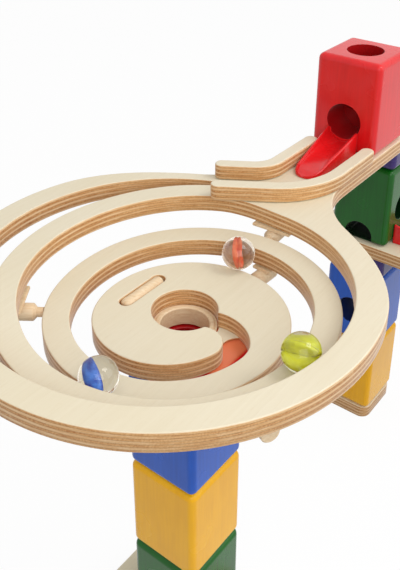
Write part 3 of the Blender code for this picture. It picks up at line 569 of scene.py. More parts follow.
def slot_outline():
    """The saw cut, from the arm to the catch hole, round the tongue's end and back."""
    start = outer_edge(SLOT_START)
    ring_from = math.degrees(math.atan2(start.y, start.x))
    points = arc((0, 0), RING_INNER, ring_from, JOIN_ANGLE + 360.0)
    points += arc(CENTRE_BACK, JOIN_REACH, JOIN_ANGLE, EASE_START)[1:]
    centre, radius = half_turn(TONGUE_END - 360.0)
    radius -= TRACK_WIDTH
    bend = circles_meet(centre, radius, TONGUE, CHANNEL)
    turn_off = angle_from(centre, bend) + 720.0 - math.degrees(BEND_EASE / radius)
    turn_in = angle_from(TONGUE, bend) + math.degrees(BEND_EASE / CHANNEL)
    points += track_points(inner_edge, EASE_START, turn_off)[1:]
    enter = points[-1]
    leave = TONGUE + CHANNEL * direction(turn_in)
    for share in (0.2, 0.4, 0.6, 0.8):
        points.append(enter.lerp(bend, share).lerp(bend.lerp(leave, share), share))
    cusp = circles_meet(HOLE_CENTRE, HOLE_RADIUS, TONGUE, CHANNEL)
    corner = circles_meet(HOLE_CENTRE, HOLE_RADIUS, TONGUE, TONGUE_RADIUS)
    points += arc(TONGUE, CHANNEL, turn_in, angle_from(TONGUE, cusp), CURL_STEP)
    points += arc_between(HOLE_CENTRE, HOLE_RADIUS, cusp, corner, 360.0)[1:]
    points += arc(TONGUE, TONGUE_RADIUS, angle_from(TONGUE, corner), TONGUE_END - 1080.0,
                  CURL_STEP)[1:]
    return points + track_points(outer_edge, TONGUE_END, SLOT_START)[1:]


def floor_outline():
    """Thin floor left in the channel beside the hole, rooted in the walls around it."""
    outside = CHANNEL + FLOOR_ROOT
    inside = TONGUE_RADIUS - FLOOR_ROOT
    begin = circles_meet(TONGUE, outside, FLOOR_FRONT, FLOOR_EDGE)
    end = circles_meet(TONGUE, inside, FLOOR_FRONT, FLOOR_EDGE)
    near = circles_meet(HOLE_CENTRE, FLOOR_RIM, TONGUE, outside)
    far = circles_meet(HOLE_CENTRE, FLOOR_RIM, TONGUE, inside)
    points = arc_between(TONGUE, outside, near, begin)
    points += arc(FLOOR_FRONT, FLOOR_EDGE, angle_from(FLOOR_FRONT, begin),
                  angle_from(FLOOR_FRONT, end) % 360.0, 5.0)[1:]
    points += arc_between(TONGUE, inside, end, far)[1:]
    return points + arc_between(HOLE_CENTRE, FLOOR_RIM, far, near)[1:-1]


print("saw cut of", len(slot_outline()), "points, channel floor of", len(floor_outline()))


# %% Rim of the sheet
def arm_point(along, right):
    """Plan point from distances along the arm and to its right."""
    ahead = direction(ARM_ANGLE)
    return along * ahead + right * Vector((ahead.y, -ahead.x))


def arm_arc(along, right, radius, start, end):
    """Arc in arm lengths, its angles counted to the right of the arm."""
    return [arm_point(p.x, p.y) for p in arc((along, right), radius, start, end, 5.0)]


def fillet_end(side):
    """How far along the arm the fillet to the ring ends."""
    reach = RING_OUTER - NECK_INSET + ARM_FILLET
    return math.sqrt(reach ** 2 - (side + ARM_FILLET) ** 2)


def rim_point(angle):
    """Plan point on the ring's outer edge, which is drawn in towards the arm."""
    from_arm = abs((angle - ARM_ANGLE + 180.0) % 360.0 - 180.0)
    drawn_in = NECK_INSET * (1.0 - smooth((from_arm - NECK_NEAR) / (NECK_FAR - NECK_NEAR)))
    return (RING_OUTER - drawn_in) * direction(angle)


def plate_outline():
    """Rim of the sheet: ring, arm and the pad over the back stack."""
    right_at = fillet_end(ARM_RIGHT)
    left_at = fillet_end(ARM_LEFT)
    right_angle = math.degrees(math.atan2(ARM_RIGHT + ARM_FILLET, right_at))
    left_angle = math.degrees(math.atan2(ARM_LEFT + ARM_FILLET, left_at))
    corner = PAD_CORNER
    shoulder = PAD_LEFT - ARM_LEFT - corner
    sweep = 360.0 - left_angle - right_angle
    count = int(sweep / 2.0)
    points = [rim_point(ARM_ANGLE + left_angle + sweep * i / count) for i in range(count + 1)]
    points += arm_arc(right_at, ARM_RIGHT + ARM_FILLET, ARM_FILLET, 180 + right_angle, 270)[1:]
    points += arm_arc(ARM_LENGTH - corner, ARM_RIGHT - corner, corner, 90, 0)
    points += arm_arc(ARM_LENGTH - corner, corner - PAD_LEFT, corner, 0, -90)
    points += arm_arc(PAD_START + corner, corner - PAD_LEFT, corner, 270, 180)
    points += arm_arc(PAD_START - shoulder, -ARM_LEFT - shoulder, shoulder, 0, 90)
    points += arm_arc(left_at, -ARM_LEFT - ARM_FILLET, ARM_FILLET, 90, 180 - left_angle)[:-1]
    return points


def stadium(centre, along, length, width):
    """Long round-ended outline."""
    turn = math.degrees(math.atan2(along.y, along.x))
    reach = (length - width) / 2.0
    points = arc(centre + along * reach, width / 2.0, turn - 90.0, turn + 90.0, 12.0)
    return points + arc(centre - along * reach, width / 2.0, turn + 90.0, turn + 270.0, 12.0)


print("rim of", len(plate_outline()), "points")

# %% [markdown]
# ## Letting the spiral down
# The sheet is sawn flat. Then the track sinks like the turns of a spring, and that is a rule:
# how far a point sinks depends only on how far along the spiral it lies. The points could be
# moved one by one in Python. A Geometry Nodes tree does it instead: it finds the angle from
# the point's place, reads the drop from a curve and moves the point, so the sheet itself
# stays simple and the sizes stay open as inputs.

# %% Geometry Nodes: let the spiral down
TURN_SLACK = 0.3
HAIR = 1e-4
CURVE_STEPS = 40
LAST_TURN = 3.0


def drop_share(theta):
    """Share of the whole drop at an angle along the track, eased between its stations."""
    pairs = list(zip(DROP_SHARES, DROP_SHARES[1:]))
    rises = [(high[1] - low[1]) / (high[0] - low[0]) for low, high in pairs]
    slopes = [0.0] + [2.0 * p * q / (p + q) for p, q in zip(rises, rises[1:])] + [0.0]
    if theta <= DROP_SHARES[0][0]:
        return 0.0
    for i, (low, high) in enumerate(pairs):
        if theta <= high[0]:
            span = high[0] - low[0]
            t = (theta - low[0]) / span
            eased = low[1] + (high[1] - low[1]) * t * t * (3.0 - 2.0 * t)
            return eased + span * t * (1.0 - t) * (slopes[i] * (1.0 - t) - slopes[i + 1] * t)
    return 1.0


def new_tree(name, inputs):
    """Geometry Nodes tree with named inputs, and the sockets that bring them in."""
    tree = bpy.data.node_groups.new(name, "GeometryNodeTree")
    tree.interface.new_socket("Geometry", in_out="OUTPUT", socket_type="NodeSocketGeometry")
    for label, kind in {"Geometry": "Geometry", **inputs, "Finish": "Material"}.items():
        tree.interface.new_socket(label, in_out="INPUT", socket_type="NodeSocket" + kind)
    return tree, add_node(tree, "NodeGroupInput").outputs


def spring_tree():
    """Node tree that sinks a flat spiral along its own turns."""
    tree, given = new_tree("let_the_spiral_down", {
        "Drop": "Float", "Track radius": "Float", "Turn step": "Float", "Ring inside": "Float"})
    start = math.radians(CENTRE_ANGLE)
    spot = add_node(tree, "GeometryNodeInputPosition")
    plan = add_node(tree, VECTOR_MATH, {0: spot, 1: (1, 1, 0)}, operation="MULTIPLY")
    # Which of the two centres the point turns about, and its place seen from there
    from_front = add_node(tree, VECTOR_MATH, {0: plan, 1: (*CENTRE_FRONT, 0)},
                          operation="SUBTRACT")
    side = add_node(tree, VECTOR_MATH, {0: from_front,
                    1: (-math.sin(start), math.cos(start), 0)}, operation="DOT_PRODUCT")
    back = add_node(tree, MATH, {0: side, 1: -HAIR}, operation="GREATER_THAN")
    from_centre = add_node(tree, VECTOR_MATH, {0: back, 1: (*(CENTRE_FRONT - CENTRE_BACK), 0),
                           2: from_front}, operation="MULTIPLY_ADD")
    reach = add_node(tree, VECTOR_MATH, {0: from_centre}, operation="LENGTH")
    part = add_node(tree, "ShaderNodeSeparateXYZ", {0: from_centre}).outputs
    angle = add_node(tree, MATH, {0: part[1], 1: part[0]}, operation="ARCTAN2")
    past_start = add_node(tree, MATH, {0: angle, 1: start - HAIR / 10}, operation="SUBTRACT")
    turned = add_node(tree, MATH, {0: past_start, 1: 2.0 * math.pi}, operation="FLOORED_MODULO")
    # How many turns in it lies, from its distance to that centre
    smaller = add_node(tree, MATH, {0: given["Track radius"], 1: given["Turn step"]},
                       operation="SUBTRACT")
    outside = add_node(tree, MATH, {0: back, 1: given["Turn step"], 2: smaller},
                       operation="MULTIPLY_ADD")
    with_slack = add_node(tree, MATH, {0: outside, 1: TURN_SLACK}, operation="ADD")
    inwards = add_node(tree, MATH, {0: with_slack, 1: reach}, operation="SUBTRACT")
    full_step = add_node(tree, MATH, {0: given["Turn step"], 1: 2.0}, operation="MULTIPLY")
    turns_in = add_node(tree, MATH, {0: inwards, 1: full_step}, operation="DIVIDE")
    turn = add_node(tree, MATH, {0: turns_in}, operation="FLOOR")
    # The angle along the track, and the share of the drop that belongs to it
    capped = add_node(tree, MATH, {0: turn, 1: LAST_TURN}, operation="MINIMUM")
    in_degrees = add_node(tree, MATH, {0: turned}, operation="DEGREES")
    in_turn = add_node(tree, MATH, {0: in_degrees, 1: CENTRE_ANGLE}, operation="ADD")
    theta = add_node(tree, MATH, {0: capped, 1: 360.0, 2: in_turn}, operation="MULTIPLY_ADD")
    first = DROP_SHARES[0][0]
    last = DROP_SHARES[-1][0]
    along = add_node(tree, RANGE, {"Value": theta, "From Min": first, "From Max": last},
                     clamp=False)
    curve = add_node(tree, "ShaderNodeFloatCurve", {"Value": along})
    points = curve.mapping.curves[0].points
    for i in range(1, CURVE_STEPS):
        share = i / CURVE_STEPS
        points.new(share, drop_share(first + (last - first) * share))
    for point in points:
        point.handle_type = "AUTO_CLAMPED"
    curve.mapping.update()
    # Only the track moves: the ring around it and the arm stay where they are
    away = add_node(tree, VECTOR_MATH, {0: plan}, operation="LENGTH")
    ring_edge = add_node(tree, MATH, {0: given["Ring inside"], 1: TURN_SLACK / 3.0},
                         operation="SUBTRACT")
    in_ring = add_node(tree, MATH, {0: away, 1: ring_edge}, operation="LESS_THAN")
    wound = add_node(tree, MATH, {0: turn, 1: -0.5}, operation="GREATER_THAN")
    in_track = add_node(tree, MATH, {0: in_ring, 1: wound}, operation="MULTIPLY")
    share = add_node(tree, MATH, {0: curve, 1: in_track}, operation="MULTIPLY")
    sunk = add_node(tree, MATH, {0: share, 1: given["Drop"]}, operation="MULTIPLY")
    offset = add_node(tree, VECTOR_MATH, {0: sunk, 1: (0, 0, -1)}, operation="MULTIPLY")
    moved = add_node(tree, "GeometryNodeSetPosition", {"Geometry": given["Geometry"],
                                                       "Offset": offset})
    whole = add_node(tree, "GeometryNodeRealizeInstances", {0: moved})
    painted = add_node(tree, "GeometryNodeSetMaterial", {"Geometry": whole,
                                                         "Material": given["Finish"]})
    add_node(tree, "NodeGroupOutput", {0: painted})
    return tree


def apply_tree(piece, tree, values):
    """Run a node tree on a piece with its named inputs, and bake the result."""
    modifier = piece.modifiers.new(tree.name, "NODES")
    modifier.node_group = tree
    for item in tree.interface.items_tree:
        if item.in_out == "INPUT" and item.name in values:
            modifier[item.identifier] = values[item.name]
    return settle(piece)


SPRING = spring_tree()
print("tree:", SPRING.name, len(SPRING.nodes), "nodes")

# %% [markdown]
# ## Spiral track
# Now the flat sheet is made from its rim, its saw cut and the slot for the dowel, and let
# down with the tree. A thin floor is left in the channel beside the catch hole. It could be
# part of the same mesh, but it is flat and simple, so it is a small sheet of its own, rooted
# in the walls of the channel.

# %% Spiral track
DOWEL_SLOT_LONG = 29.0
DOWEL_SLOT_WIDE = 6.6
FLOOR_THICK = 0.8
FLOOR_RISE = 0.2
FLOOR_EASE = 0.15
SPIRAL = shift(*RING_CENTRE, PLATE_TOP)
DOWEL_CENTRE = arm_point(3.2, -15.9)
dowel_slot = stadium(DOWEL_CENTRE, direction(ARM_ANGLE), DOWEL_SLOT_LONG, DOWEL_SLOT_WIDE)
track = make_piece("spiral_track", sawn_sheet([plate_outline(), slot_outline(), dowel_slot]),
                   Matrix.Scale(1.0 / MM, 4), PLYWOOD)
apply_tree(track, SPRING, {"Drop": DROP, "Track radius": TRACK_RADIUS, "Turn step": TURN_STEP,
                           "Ring inside": RING_INNER, "Finish": PLYWOOD})
track.data.transform(Matrix.Scale(MM, 4) @ SPIRAL)
dress(track, "spiral", "birch_plywood", "spiral_plate")
floor_at = SPIRAL @ shift(0, 0, FLOOR_THICK + FLOOR_RISE - PLY - DROP)
channel_floor = make_piece("channel_floor",
                           sawn_sheet([floor_outline()], FLOOR_THICK, FLOOR_EASE),
                           floor_at, PLYWOOD)
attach(channel_floor, "spiral")
print(channel_floor.name, len(channel_floor.data.polygons), "faces")

# %% [markdown]
# ## Guide strips, rail and bases
# Two bent strips on the arm lead a marble onto the track, a rail is clamped in the back
# stack, and each stack stands on a base plate. They could be boxes that are bent or bevelled,
# but they are sawn from the same plywood, so they use the same sheet function and get the
# same edges and stripes.

# %% Guides, rail and bases
SEAT = 0.3
GUIDE_WIDTH = 7.4
GUIDE_HEIGHT = 8.2
GUIDE_EASE = 0.8
GUIDE_TURN = 57.0
GUIDE_STEPS = 24
RAIL_TOP = 145.2
RAIL_HALF = 22.55
BASE_HALF = 19.75
CORNER = 7.0
FRONT_BASE_CORNER = 14.0


def guide_outline(offset, near, far, radius, tail):
    """A guide strip: straight on the arm, an arc, then a straight tail."""
    heading = ARM_ANGLE + 180.0
    path = [(arm_point(far, offset), heading)]
    bend = arm_point(near, offset) + radius * direction(heading - 90.0)
    for i in range(GUIDE_STEPS + 1):
        turned = heading - GUIDE_TURN * i / GUIDE_STEPS
        path.append((bend + radius * direction(turned + 90.0), turned))
    end, last = path[-1]
    path.append((end + tail * direction(last), last))
    half = GUIDE_WIDTH / 2.0
    left = [p + half * direction(a + 90.0) for p, a in path]
    right = [p + half * direction(a - 90.0) for p, a in path]
    start_cap = arc(path[0][0], half, heading + 90.0, heading + 270.0, 12.0)
    end_cap = arc(path[-1][0], half, last - 90.0, last + 90.0, 12.0)
    return start_cap[1:-1] + right + end_cap[1:-1] + left[::-1]


def rounded_rectangle(x_low, x_high, y_low, y_high, corner):
    """Outline of a rectangle with round corners."""
    points = arc((x_high - corner, y_low + corner), corner, -90.0, 0.0, 10.0)
    points += arc((x_high - corner, y_high - corner), corner, 0.0, 90.0, 10.0)
    points += arc((x_low + corner, y_high - corner), corner, 90.0, 180.0, 10.0)
    return points + arc((x_low + corner, y_low + corner), corner, 180.0, 270.0, 10.0)


front_strip = guide_outline(offset=22.8, near=115.5, far=146.3, radius=42.0, tail=27.3)
back_strip = guide_outline(offset=-10.1, near=107.5, far=141.6, radius=16.0, tail=16.4)
for name, node, strip in (("front_guide", "guide_rail_front", front_strip),
                          ("back_guide", "guide_rail_back", back_strip)):
    guide = make_piece(name, sawn_sheet([strip], GUIDE_HEIGHT, GUIDE_EASE),
                       SPIRAL @ shift(0, 0, SEAT + GUIDE_HEIGHT), PLYWOOD)
    dress(guide, "spiral", "birch_plywood", node)

STACK_AT = Vector(RING_CENTRE) + arm_point(217.5, -1.9)
STACK = shift(*STACK_AT, 0.0) @ rotate(ARM_ANGLE)
MIDDLE = rotate(ARM_ANGLE)
rail_plan = rounded_rectangle(-RAIL_HALF, RAIL_HALF, -89.9, 32.1, CORNER)
base_plan = rounded_rectangle(-BASE_HALF, BASE_HALF, -BASE_HALF, BASE_HALF, CORNER)
front_plan = rounded_rectangle(-32.0, 32.0, -45.0, 45.0, FRONT_BASE_CORNER)
for name, node, outline, place, top in (("rail", "middle_rail", rail_plan, STACK, RAIL_TOP),
                                        ("back_base", "column_base", base_plan, STACK, PLY),
                                        ("front_base", "centre_base", front_plan, MIDDLE, PLY)):
    plate = make_piece(name, sawn_sheet([outline]), place @ shift(0, 0, top), PLYWOOD)
    dress(plate, "stand", "birch_plywood", node)

# %% [markdown]
# ## Blocks
# The stacks are square wooden blocks with generously rounded edges, and round bores and
# arches for the marbles to roll through. A block could be drawn with its holes as one mesh,
# but holes that meet the round edges are hard to draw. So each block is a bevelled box, the
# bores are cut with exact Booleans, and a second, fine Bevel rounds the rims that the cuts
# leave. Weighted normals keep the flat sides flat, so the gloss on them stays calm.

# %% Helpers for blocks
BLOCK_LONG = 55.0
BLOCK_WIDE = 39.5
BLOCK_EDGE = 3.5
EDGE_STEPS = 5
RIM_EDGE = 0.7
RIM_STEPS = 3
RIM_ANGLE = 50.0
WELD = 0.01
TUNNEL = 9.5
PAST = 2.5
OUTSIDE = BLOCK_WIDE / 2.0 + PAST


def loft(bm, rings):
    """Closed skin over a row of rings of points."""
    for near, far in zip(rings, rings[1:]):
        bridge(bm, near, far)
    bm.faces.new(rings[0])
    bm.faces.new(rings[-1])
    return bm


def rod(radius, length, segments=64):
    """Upright rod about the origin."""
    bm = bmesh.new()
    bmesh.ops.create_cone(bm, cap_ends=True, segments=segments, radius1=radius, radius2=radius,
                          depth=length)
    return bm


def bore(first, last, radius):
    """Round cutter between two points."""
    first, last = Vector(first), Vector(last)
    bm = rod(radius, (last - first).length)
    turn = Vector((0, 0, 1)).rotation_difference(last - first).to_matrix().to_4x4()
    bmesh.ops.transform(bm, matrix=shift(*((first + last) / 2.0)) @ turn, verts=bm.verts)
    return bm


def arch(bottom, lift, web=-PAST):
    """Cutter for a round-topped tunnel along X near the foot of a block."""
    bm = bmesh.new()
    points = arc((0.0, lift), TUNNEL, 0.0, 180.0, 6.0)
    points += [Vector((-TUNNEL, web)), Vector((TUNNEL, web))]
    return loft(bm, [[bm.verts.new((x, p.x, bottom + p.y)) for p in points]
                     for x in (-OUTSIDE, OUTSIDE)])


def box(size, centre):
    """Box about a centre."""
    bm = bmesh.new()
    bmesh.ops.create_cube(bm, size=1.0)
    bmesh.ops.scale(bm, vec=size, verts=bm.verts)
    bmesh.ops.translate(bm, verts=bm.verts, vec=centre)
    return bm


def combine(piece, operation, tools):
    """Cut closed shapes out of a piece or join them to it, and merge near-double points."""
    for tool in tools:
        step = piece.modifiers.new(operation.lower(), "BOOLEAN")
        step.operation = operation
        step.solver = "EXACT"
        step.material_mode = "TRANSFER"
        step.object = tool
    merge = piece.modifiers.new("weld", "WELD")
    merge.merge_threshold = WELD * MM


def block(name, size, centre, place, slot, cutters=()):
    """Lacquered block with rounded edges and round-rimmed bores."""
    bm = box(size, centre)
    bmesh.ops.bevel(bm, geom=bm.edges[:], offset=BLOCK_EDGE, segments=EDGE_STEPS, profile=0.5,
                    affect="EDGES")
    piece = make_piece(name, bm, place, LACQUERS[slot])
    # The cutters carry the bore coat, painted shade, onto the faces that they cut
    tools = [make_piece(name + "_tool", cutter, place, BORE_SHADES[slot]) for cutter in cutters]
    if tools:
        combine(piece, "DIFFERENCE", tools)
        rim = piece.modifiers.new("rim", "BEVEL")
        rim.width = RIM_EDGE * MM
        rim.segments = RIM_STEPS
        rim.limit_method = "ANGLE"
        rim.angle_limit = math.radians(RIM_ANGLE)
    calm = piece.modifiers.new("calm", "WEIGHTED_NORMAL")
    calm.keep_sharp = True
    return settle(piece, tools)


print("a block measures", BLOCK_WIDE, "x", BLOCK_WIDE, "x", BLOCK_LONG, "mm")

# %% [markdown]
# ## Back stack
# The stack behind the ring carries the arm. From the base up it is yellow, blue with a
# tunnel, a flat purple block, the rail, green with an arch and a tunnel, and a second purple
# block. The blocks could be copies of one mesh, but their bores differ, so each is cut on
# its own, and a list keeps the stack easy to read. A web of wood is left under the arch, and
# its top takes the dark bore coat as painted shade in place of the pale rail below.

# %% Back stack
LOW_SPACER = 16.0
HIGH_SPACER = 18.0
TUNNEL_LIFT = 23.5
ARCH_LIFT = 3.2
# The web under the arch is there to carry the dark bore coat, painted shade, over the pale rail
SHADED_ARCH_WEB = 0.8
HALF = BLOCK_LONG / 2.0
YELLOW_FOOT = PLY + SEAT
BLUE_FOOT = YELLOW_FOOT + BLOCK_LONG + SEAT
LOW_FOOT = BLUE_FOOT + BLOCK_LONG + SEAT
GREEN_FOOT = RAIL_TOP + SEAT
HIGH_FOOT = GREEN_FOOT + BLOCK_LONG + SEAT
upright = (BLOCK_WIDE, BLOCK_WIDE, BLOCK_LONG)
low_short = (BLOCK_WIDE, BLOCK_WIDE, LOW_SPACER)
high_short = (BLOCK_WIDE, BLOCK_WIDE, HIGH_SPACER)
blue_level = BLUE_FOOT + TUNNEL_LIFT
green_level = GREEN_FOOT + TUNNEL_LIFT
blue_bore = bore((-OUTSIDE, 0, blue_level), (OUTSIDE, 0, blue_level), TUNNEL)
green_bore = bore((0, -OUTSIDE, green_level), (0, OUTSIDE, green_level), TUNNEL)
back_stack = (
    ("yellow_pillar", "yellow_block", upright, YELLOW_FOOT + HALF, "yellow_lacquer", ()),
    ("blue_pillar", "blue_block", upright, BLUE_FOOT + HALF, "blue_lacquer", (blue_bore,)),
    ("low_purple", "lower_spacer", low_short, LOW_FOOT + LOW_SPACER / 2, "purple_lacquer", ()),
    ("green_pillar", "green_block", upright, GREEN_FOOT + HALF, "green_lacquer",
     (arch(GREEN_FOOT, ARCH_LIFT, SHADED_ARCH_WEB), green_bore)),
    ("high_purple", "upper_spacer", high_short, HIGH_FOOT + HIGH_SPACER / 2,
     "purple_lacquer", ()),
)
for name, node, size, height, slot, cutters in back_stack:
    piece = block(name, size, (0, 0, height), STACK, slot, cutters)
    dress(piece, "stand", slot, node)

# %% [markdown]
# ## Middle stack
# Under the centre plate a second stack takes the caught marble down an upright bore and out
# through an arch at the foot. The red block on top has a round seat for the catch ring, and
# its top is painted a pale orange, a painted reflection of the plywood walls. It could be a
# decal; here the whole block gets the reflection coat, whose shader pales only what faces up.

# %% Middle stack
CATCH_HIGH = 23.0
CATCH_LONG = 61.5
CATCH_BACK = -2.25
COLLAR = 13.6
COLLAR_DEEP = 8.0
BORE_PLAY = 0.4
feet = [PLY + SEAT + level * (BLOCK_LONG + SEAT) for level in range(4)]
tops = [foot + BLOCK_LONG for foot in feet[:3]] + [feet[3] + CATCH_HIGH]
CATCH_TOP = tops[3]
shafts = [bore((0, 0, foot - PAST), (0, 0, top + PAST), TUNNEL)
          for foot, top in zip(feet[1:], tops[1:])]
# The lowest shaft ends in the arch, and is a little narrower so that no two cuts coincide
low_shaft = bore((0, 0, feet[0] + TUNNEL), (0, 0, tops[0] + PAST), TUNNEL - BORE_PLAY)
ring_seat = bore((0, 0, CATCH_TOP - COLLAR_DEEP - SEAT), (0, 0, CATCH_TOP + PAST), COLLAR + SEAT)
middle_stack = (
    ("green_foot", "centre_low_block", upright, (0, 0, feet[0] + HALF), "green_lacquer",
     (arch(feet[0], TUNNEL), low_shaft)),
    ("yellow_middle", "centre_mid_block", upright, (0, 0, feet[1] + HALF), "yellow_lacquer",
     (shafts[0],)),
    ("blue_top", "centre_high_block", upright, (0, 0, feet[2] + HALF), "blue_lacquer",
     (shafts[1],)),
    ("red_catch", "catch_block", (BLOCK_WIDE, CATCH_LONG, CATCH_HIGH),
     (0, CATCH_BACK, feet[3] + CATCH_HIGH / 2), "red_lacquer", (shafts[2], ring_seat)),
)
for name, node, size, centre, slot, cutters in middle_stack:
    piece = block(name, size, centre, MIDDLE, slot, cutters)
    dress(piece, "stand", slot, node)
# The last of them is the catch block
# It gets the coat with the painted reflection on its top
piece.data.materials[0] = PAINTED_REFLECTION_RED
print("painted reflection coat on", piece.name)

# %% [markdown]
# ## Start block
# The red block on the arm has a bent bore: a marble dropped in at the top rolls out in
# front. The bend could be one swept cutter. Two straight bores that overlap a little at the
# elbow are what a drill makes, so they are cut one after the other.

# %% Start block
ARM = SPIRAL @ rotate(ARM_ANGLE)
START_MIDDLE = 173.25
START_RIGHT = 3.4
START_BORE = 10.5
LEVEL = SEAT + 18.0
OVERLAP = 0.25
elbow = Vector((START_MIDDLE, -START_RIGHT, LEVEL))
down = bore(elbow, (START_MIDDLE, -START_RIGHT, SEAT + BLOCK_LONG + PAST), START_BORE)
ahead = bore((START_MIDDLE - OUTSIDE, -START_RIGHT, LEVEL),
             (START_MIDDLE + OVERLAP, -START_RIGHT, LEVEL), START_BORE)
start = block("start_tower", upright, (START_MIDDLE, -START_RIGHT, SEAT + HALF), ARM,
              "red_lacquer", (down, ahead))
dress(start, "start", "red_lacquer", "start_block")

# %% [markdown]
# ## Ramps
# Two short red ramps, one on the arm and one on the rail, catch a marble that leaves a bore.
# Each is scooped out along its length, gets lower and narrower and ends in a round nose. A
# box with a cut-out would leave a sharp rim, so the ramp is lofted from a row of scooped
# sections, each with a small bead along its two edges.

# %% Ramps
RAMP_LONG = 43.0
RAMP_WIDE = 19.4
RAMP_NARROW = 15.0
RAMP_HIGH = 13.6
RAMP_LOW = 1.4
RAMP_SCOOP = 7.3
RAMP_NOSE = RAMP_NARROW / 2.0
RAMP_AT = 153.2
BEAD = 0.9
SCOOP_STEPS = 18
NOSE_WIDE = 2.0
# The high end is drawn in a little, which rounds its rim
ROUNDED_END = {0.0: 0.5, 0.3: 0.15}


def ramp():
    """Scooped ramp along -X from its high end at 0, foot at height 0, with a rounded rim."""
    bm = bmesh.new()
    stations = [0.0, 0.3, 0.8] + [RAMP_LONG * i / 40.0 for i in range(1, 38)]
    stations += [RAMP_LONG - left for left in (2.2, 1.4, 0.8, 0.35, 0.05)]
    sections = []
    for along in stations:
        rise = 1.0 - along / RAMP_LONG
        width = (RAMP_NARROW + (RAMP_WIDE - RAMP_NARROW) * rise) / 2.0
        left = RAMP_LONG - along
        if left < RAMP_NOSE:
            round_nose = max(RAMP_NOSE ** 2 - (RAMP_NOSE - left) ** 2, NOSE_WIDE ** 2)
            width = min(width, math.sqrt(round_nose))
        close = ROUNDED_END.get(along, 0.0)
        width -= close
        top = RAMP_LOW + (RAMP_HIGH - RAMP_LOW) * rise - close
        bead = min(BEAD, top * BEAD / 2.0)
        inside = width - 2.0 * bead
        deep = max(RAMP_SCOOP * rise - bead, 0.0)
        outline = [Vector((-width, 0.0)), Vector((width, 0.0))]
        outline += arc((width - bead, top - bead), bead, 0.0, 180.0, 30.0)
        for k in range(1, SCOOP_STEPS):
            angle = math.pi * k / SCOOP_STEPS
            outline.append(Vector((inside * math.cos(angle), top - bead - deep * math.sin(angle))))
        outline += arc((bead - width, top - bead), bead, 0.0, 180.0, 30.0)
        sections.append([bm.verts.new((-along, p.x, p.y)) for p in outline])
    return loft(bm, sections)


on_arm = ARM @ shift(RAMP_AT, -START_RIGHT, SEAT)
on_rail = STACK @ shift(0, -BLOCK_WIDE / 2 - SEAT, RAIL_TOP + SEAT) @ rotate(90.0)
for name, node, body, place in (("upper_ramp", "start_ramp", "ramp_upper", on_arm),
                                ("lower_ramp", "rail_ramp", "ramp_lower", on_rail)):
    slide = make_piece(name, ramp(), place, LACQUERS["red_lacquer"])
    slide.data.set_sharp_from_angle(angle=math.radians(RIM_ANGLE))
    dress(slide, body, "red_lacquer", node)

# %% [markdown]
# ## Dowel and catch ring
# A round-ended dowel lies in a slot of the centre plate, and a bare wooden ring stands in the
# catch hole. Both come off a lathe. They could be cylinders with bevels, but a profile spun
# about its axis says what a turner does, and gives every step its own size.

# %% Dowel and catch ring
DOWEL = 3.0
DOWEL_HALF = 13.0
DOWEL_BLUNT = 2.2
DOWEL_RISE = 1.0
COLLAR_BORE = 11.2
COLLAR_EDGE = 0.5
COLLAR_FLANGE = HOLE_RADIUS - SEAT
RING_ANGLE = 35.0


def lathe(profile, segments=48, closed=False):
    """Turned shape about X from (along, radius) pairs; a closed profile makes a ring."""
    bm = bmesh.new()
    circle = [2.0 * math.pi * i / segments for i in range(segments)]
    rings = [[bm.verts.new((along, radius * math.cos(a), radius * math.sin(a))) for a in circle]
             for along, radius in profile]
    if not closed:
        return loft(bm, rings)
    for i, ring in enumerate(rings):
        bridge(bm, rings[i - 1], ring)
    return bm


def round_end(reach, radius, blunt):
    """Rounded end of a rod: (along, radius) pairs up to its tip."""
    steps = [math.radians(a) for a in (0, 20, 40, 60, 80)]
    return [(reach - blunt + blunt * math.sin(a), radius - blunt * (1 - math.cos(a)))
            for a in steps]


tip = round_end(DOWEL_HALF, DOWEL, DOWEL_BLUNT)
dowel_place = SPIRAL @ shift(*DOWEL_CENTRE, DOWEL_RISE - DROP - DOWEL) @ rotate(ARM_ANGLE)
dowel = make_piece("dowel", lathe([(-a, r) for a, r in reversed(tip)] + tip, 32), dowel_place,
                   BEECH)
dowel.data.set_sharp_from_angle(angle=math.radians(RIM_ANGLE))
dress(dowel, "spiral", "beech", "locating_dowel")

low, seat, step, high = (CATCH_TOP + level for level in (-COLLAR_DEEP, 0.05, 0.9, 1.7))
collar_profile = [(low, COLLAR_BORE + COLLAR_EDGE), (low, COLLAR), (seat, COLLAR),
                  (seat, COLLAR_FLANGE), (step, COLLAR_FLANGE), (step, COLLAR),
                  (high - COLLAR_EDGE, COLLAR), (high, COLLAR - COLLAR_EDGE),
                  (high, COLLAR_BORE + COLLAR_EDGE), (high - COLLAR_EDGE, COLLAR_BORE),
                  (low + COLLAR_EDGE, COLLAR_BORE)]
catch = make_piece("catch_collar", lathe(collar_profile, 72, closed=True),
                   MIDDLE @ rotate(-90.0, "Y"), BEECH)
catch.data.set_sharp_from_angle(angle=math.radians(RING_ANGLE))
dress(catch, "stand", "beech", "catch_ring")

# %% [markdown]
# ## Spacers
# Small turned pegs hold neighbouring turns apart: a thin neck sits in the lower turn, and the
# head carries a post and a thin ledge under the upper turn. They could be three loose
# pieces, but they move as one, so the post and the ledge are joined to the peg with a
# Boolean. Their height follows the drop of the two turns they stand between.

# %% Spacers
PEG_HEAD = 4.0
PEG_NECK = 2.25
PEG_BELOW = 3.0
PEG_PAST = 8.0
NECK_END = SEAT + 3.0
POST = 3.6
POST_BACK = 4.1
LEDGE_LONG = 10.0
LEDGE_WIDE = 21.0
LEDGE_SLIM = 10.0
LEDGE_HIGH = 1.5
LEDGE_OUT = 4.0
LEDGE_EDGE = 0.3


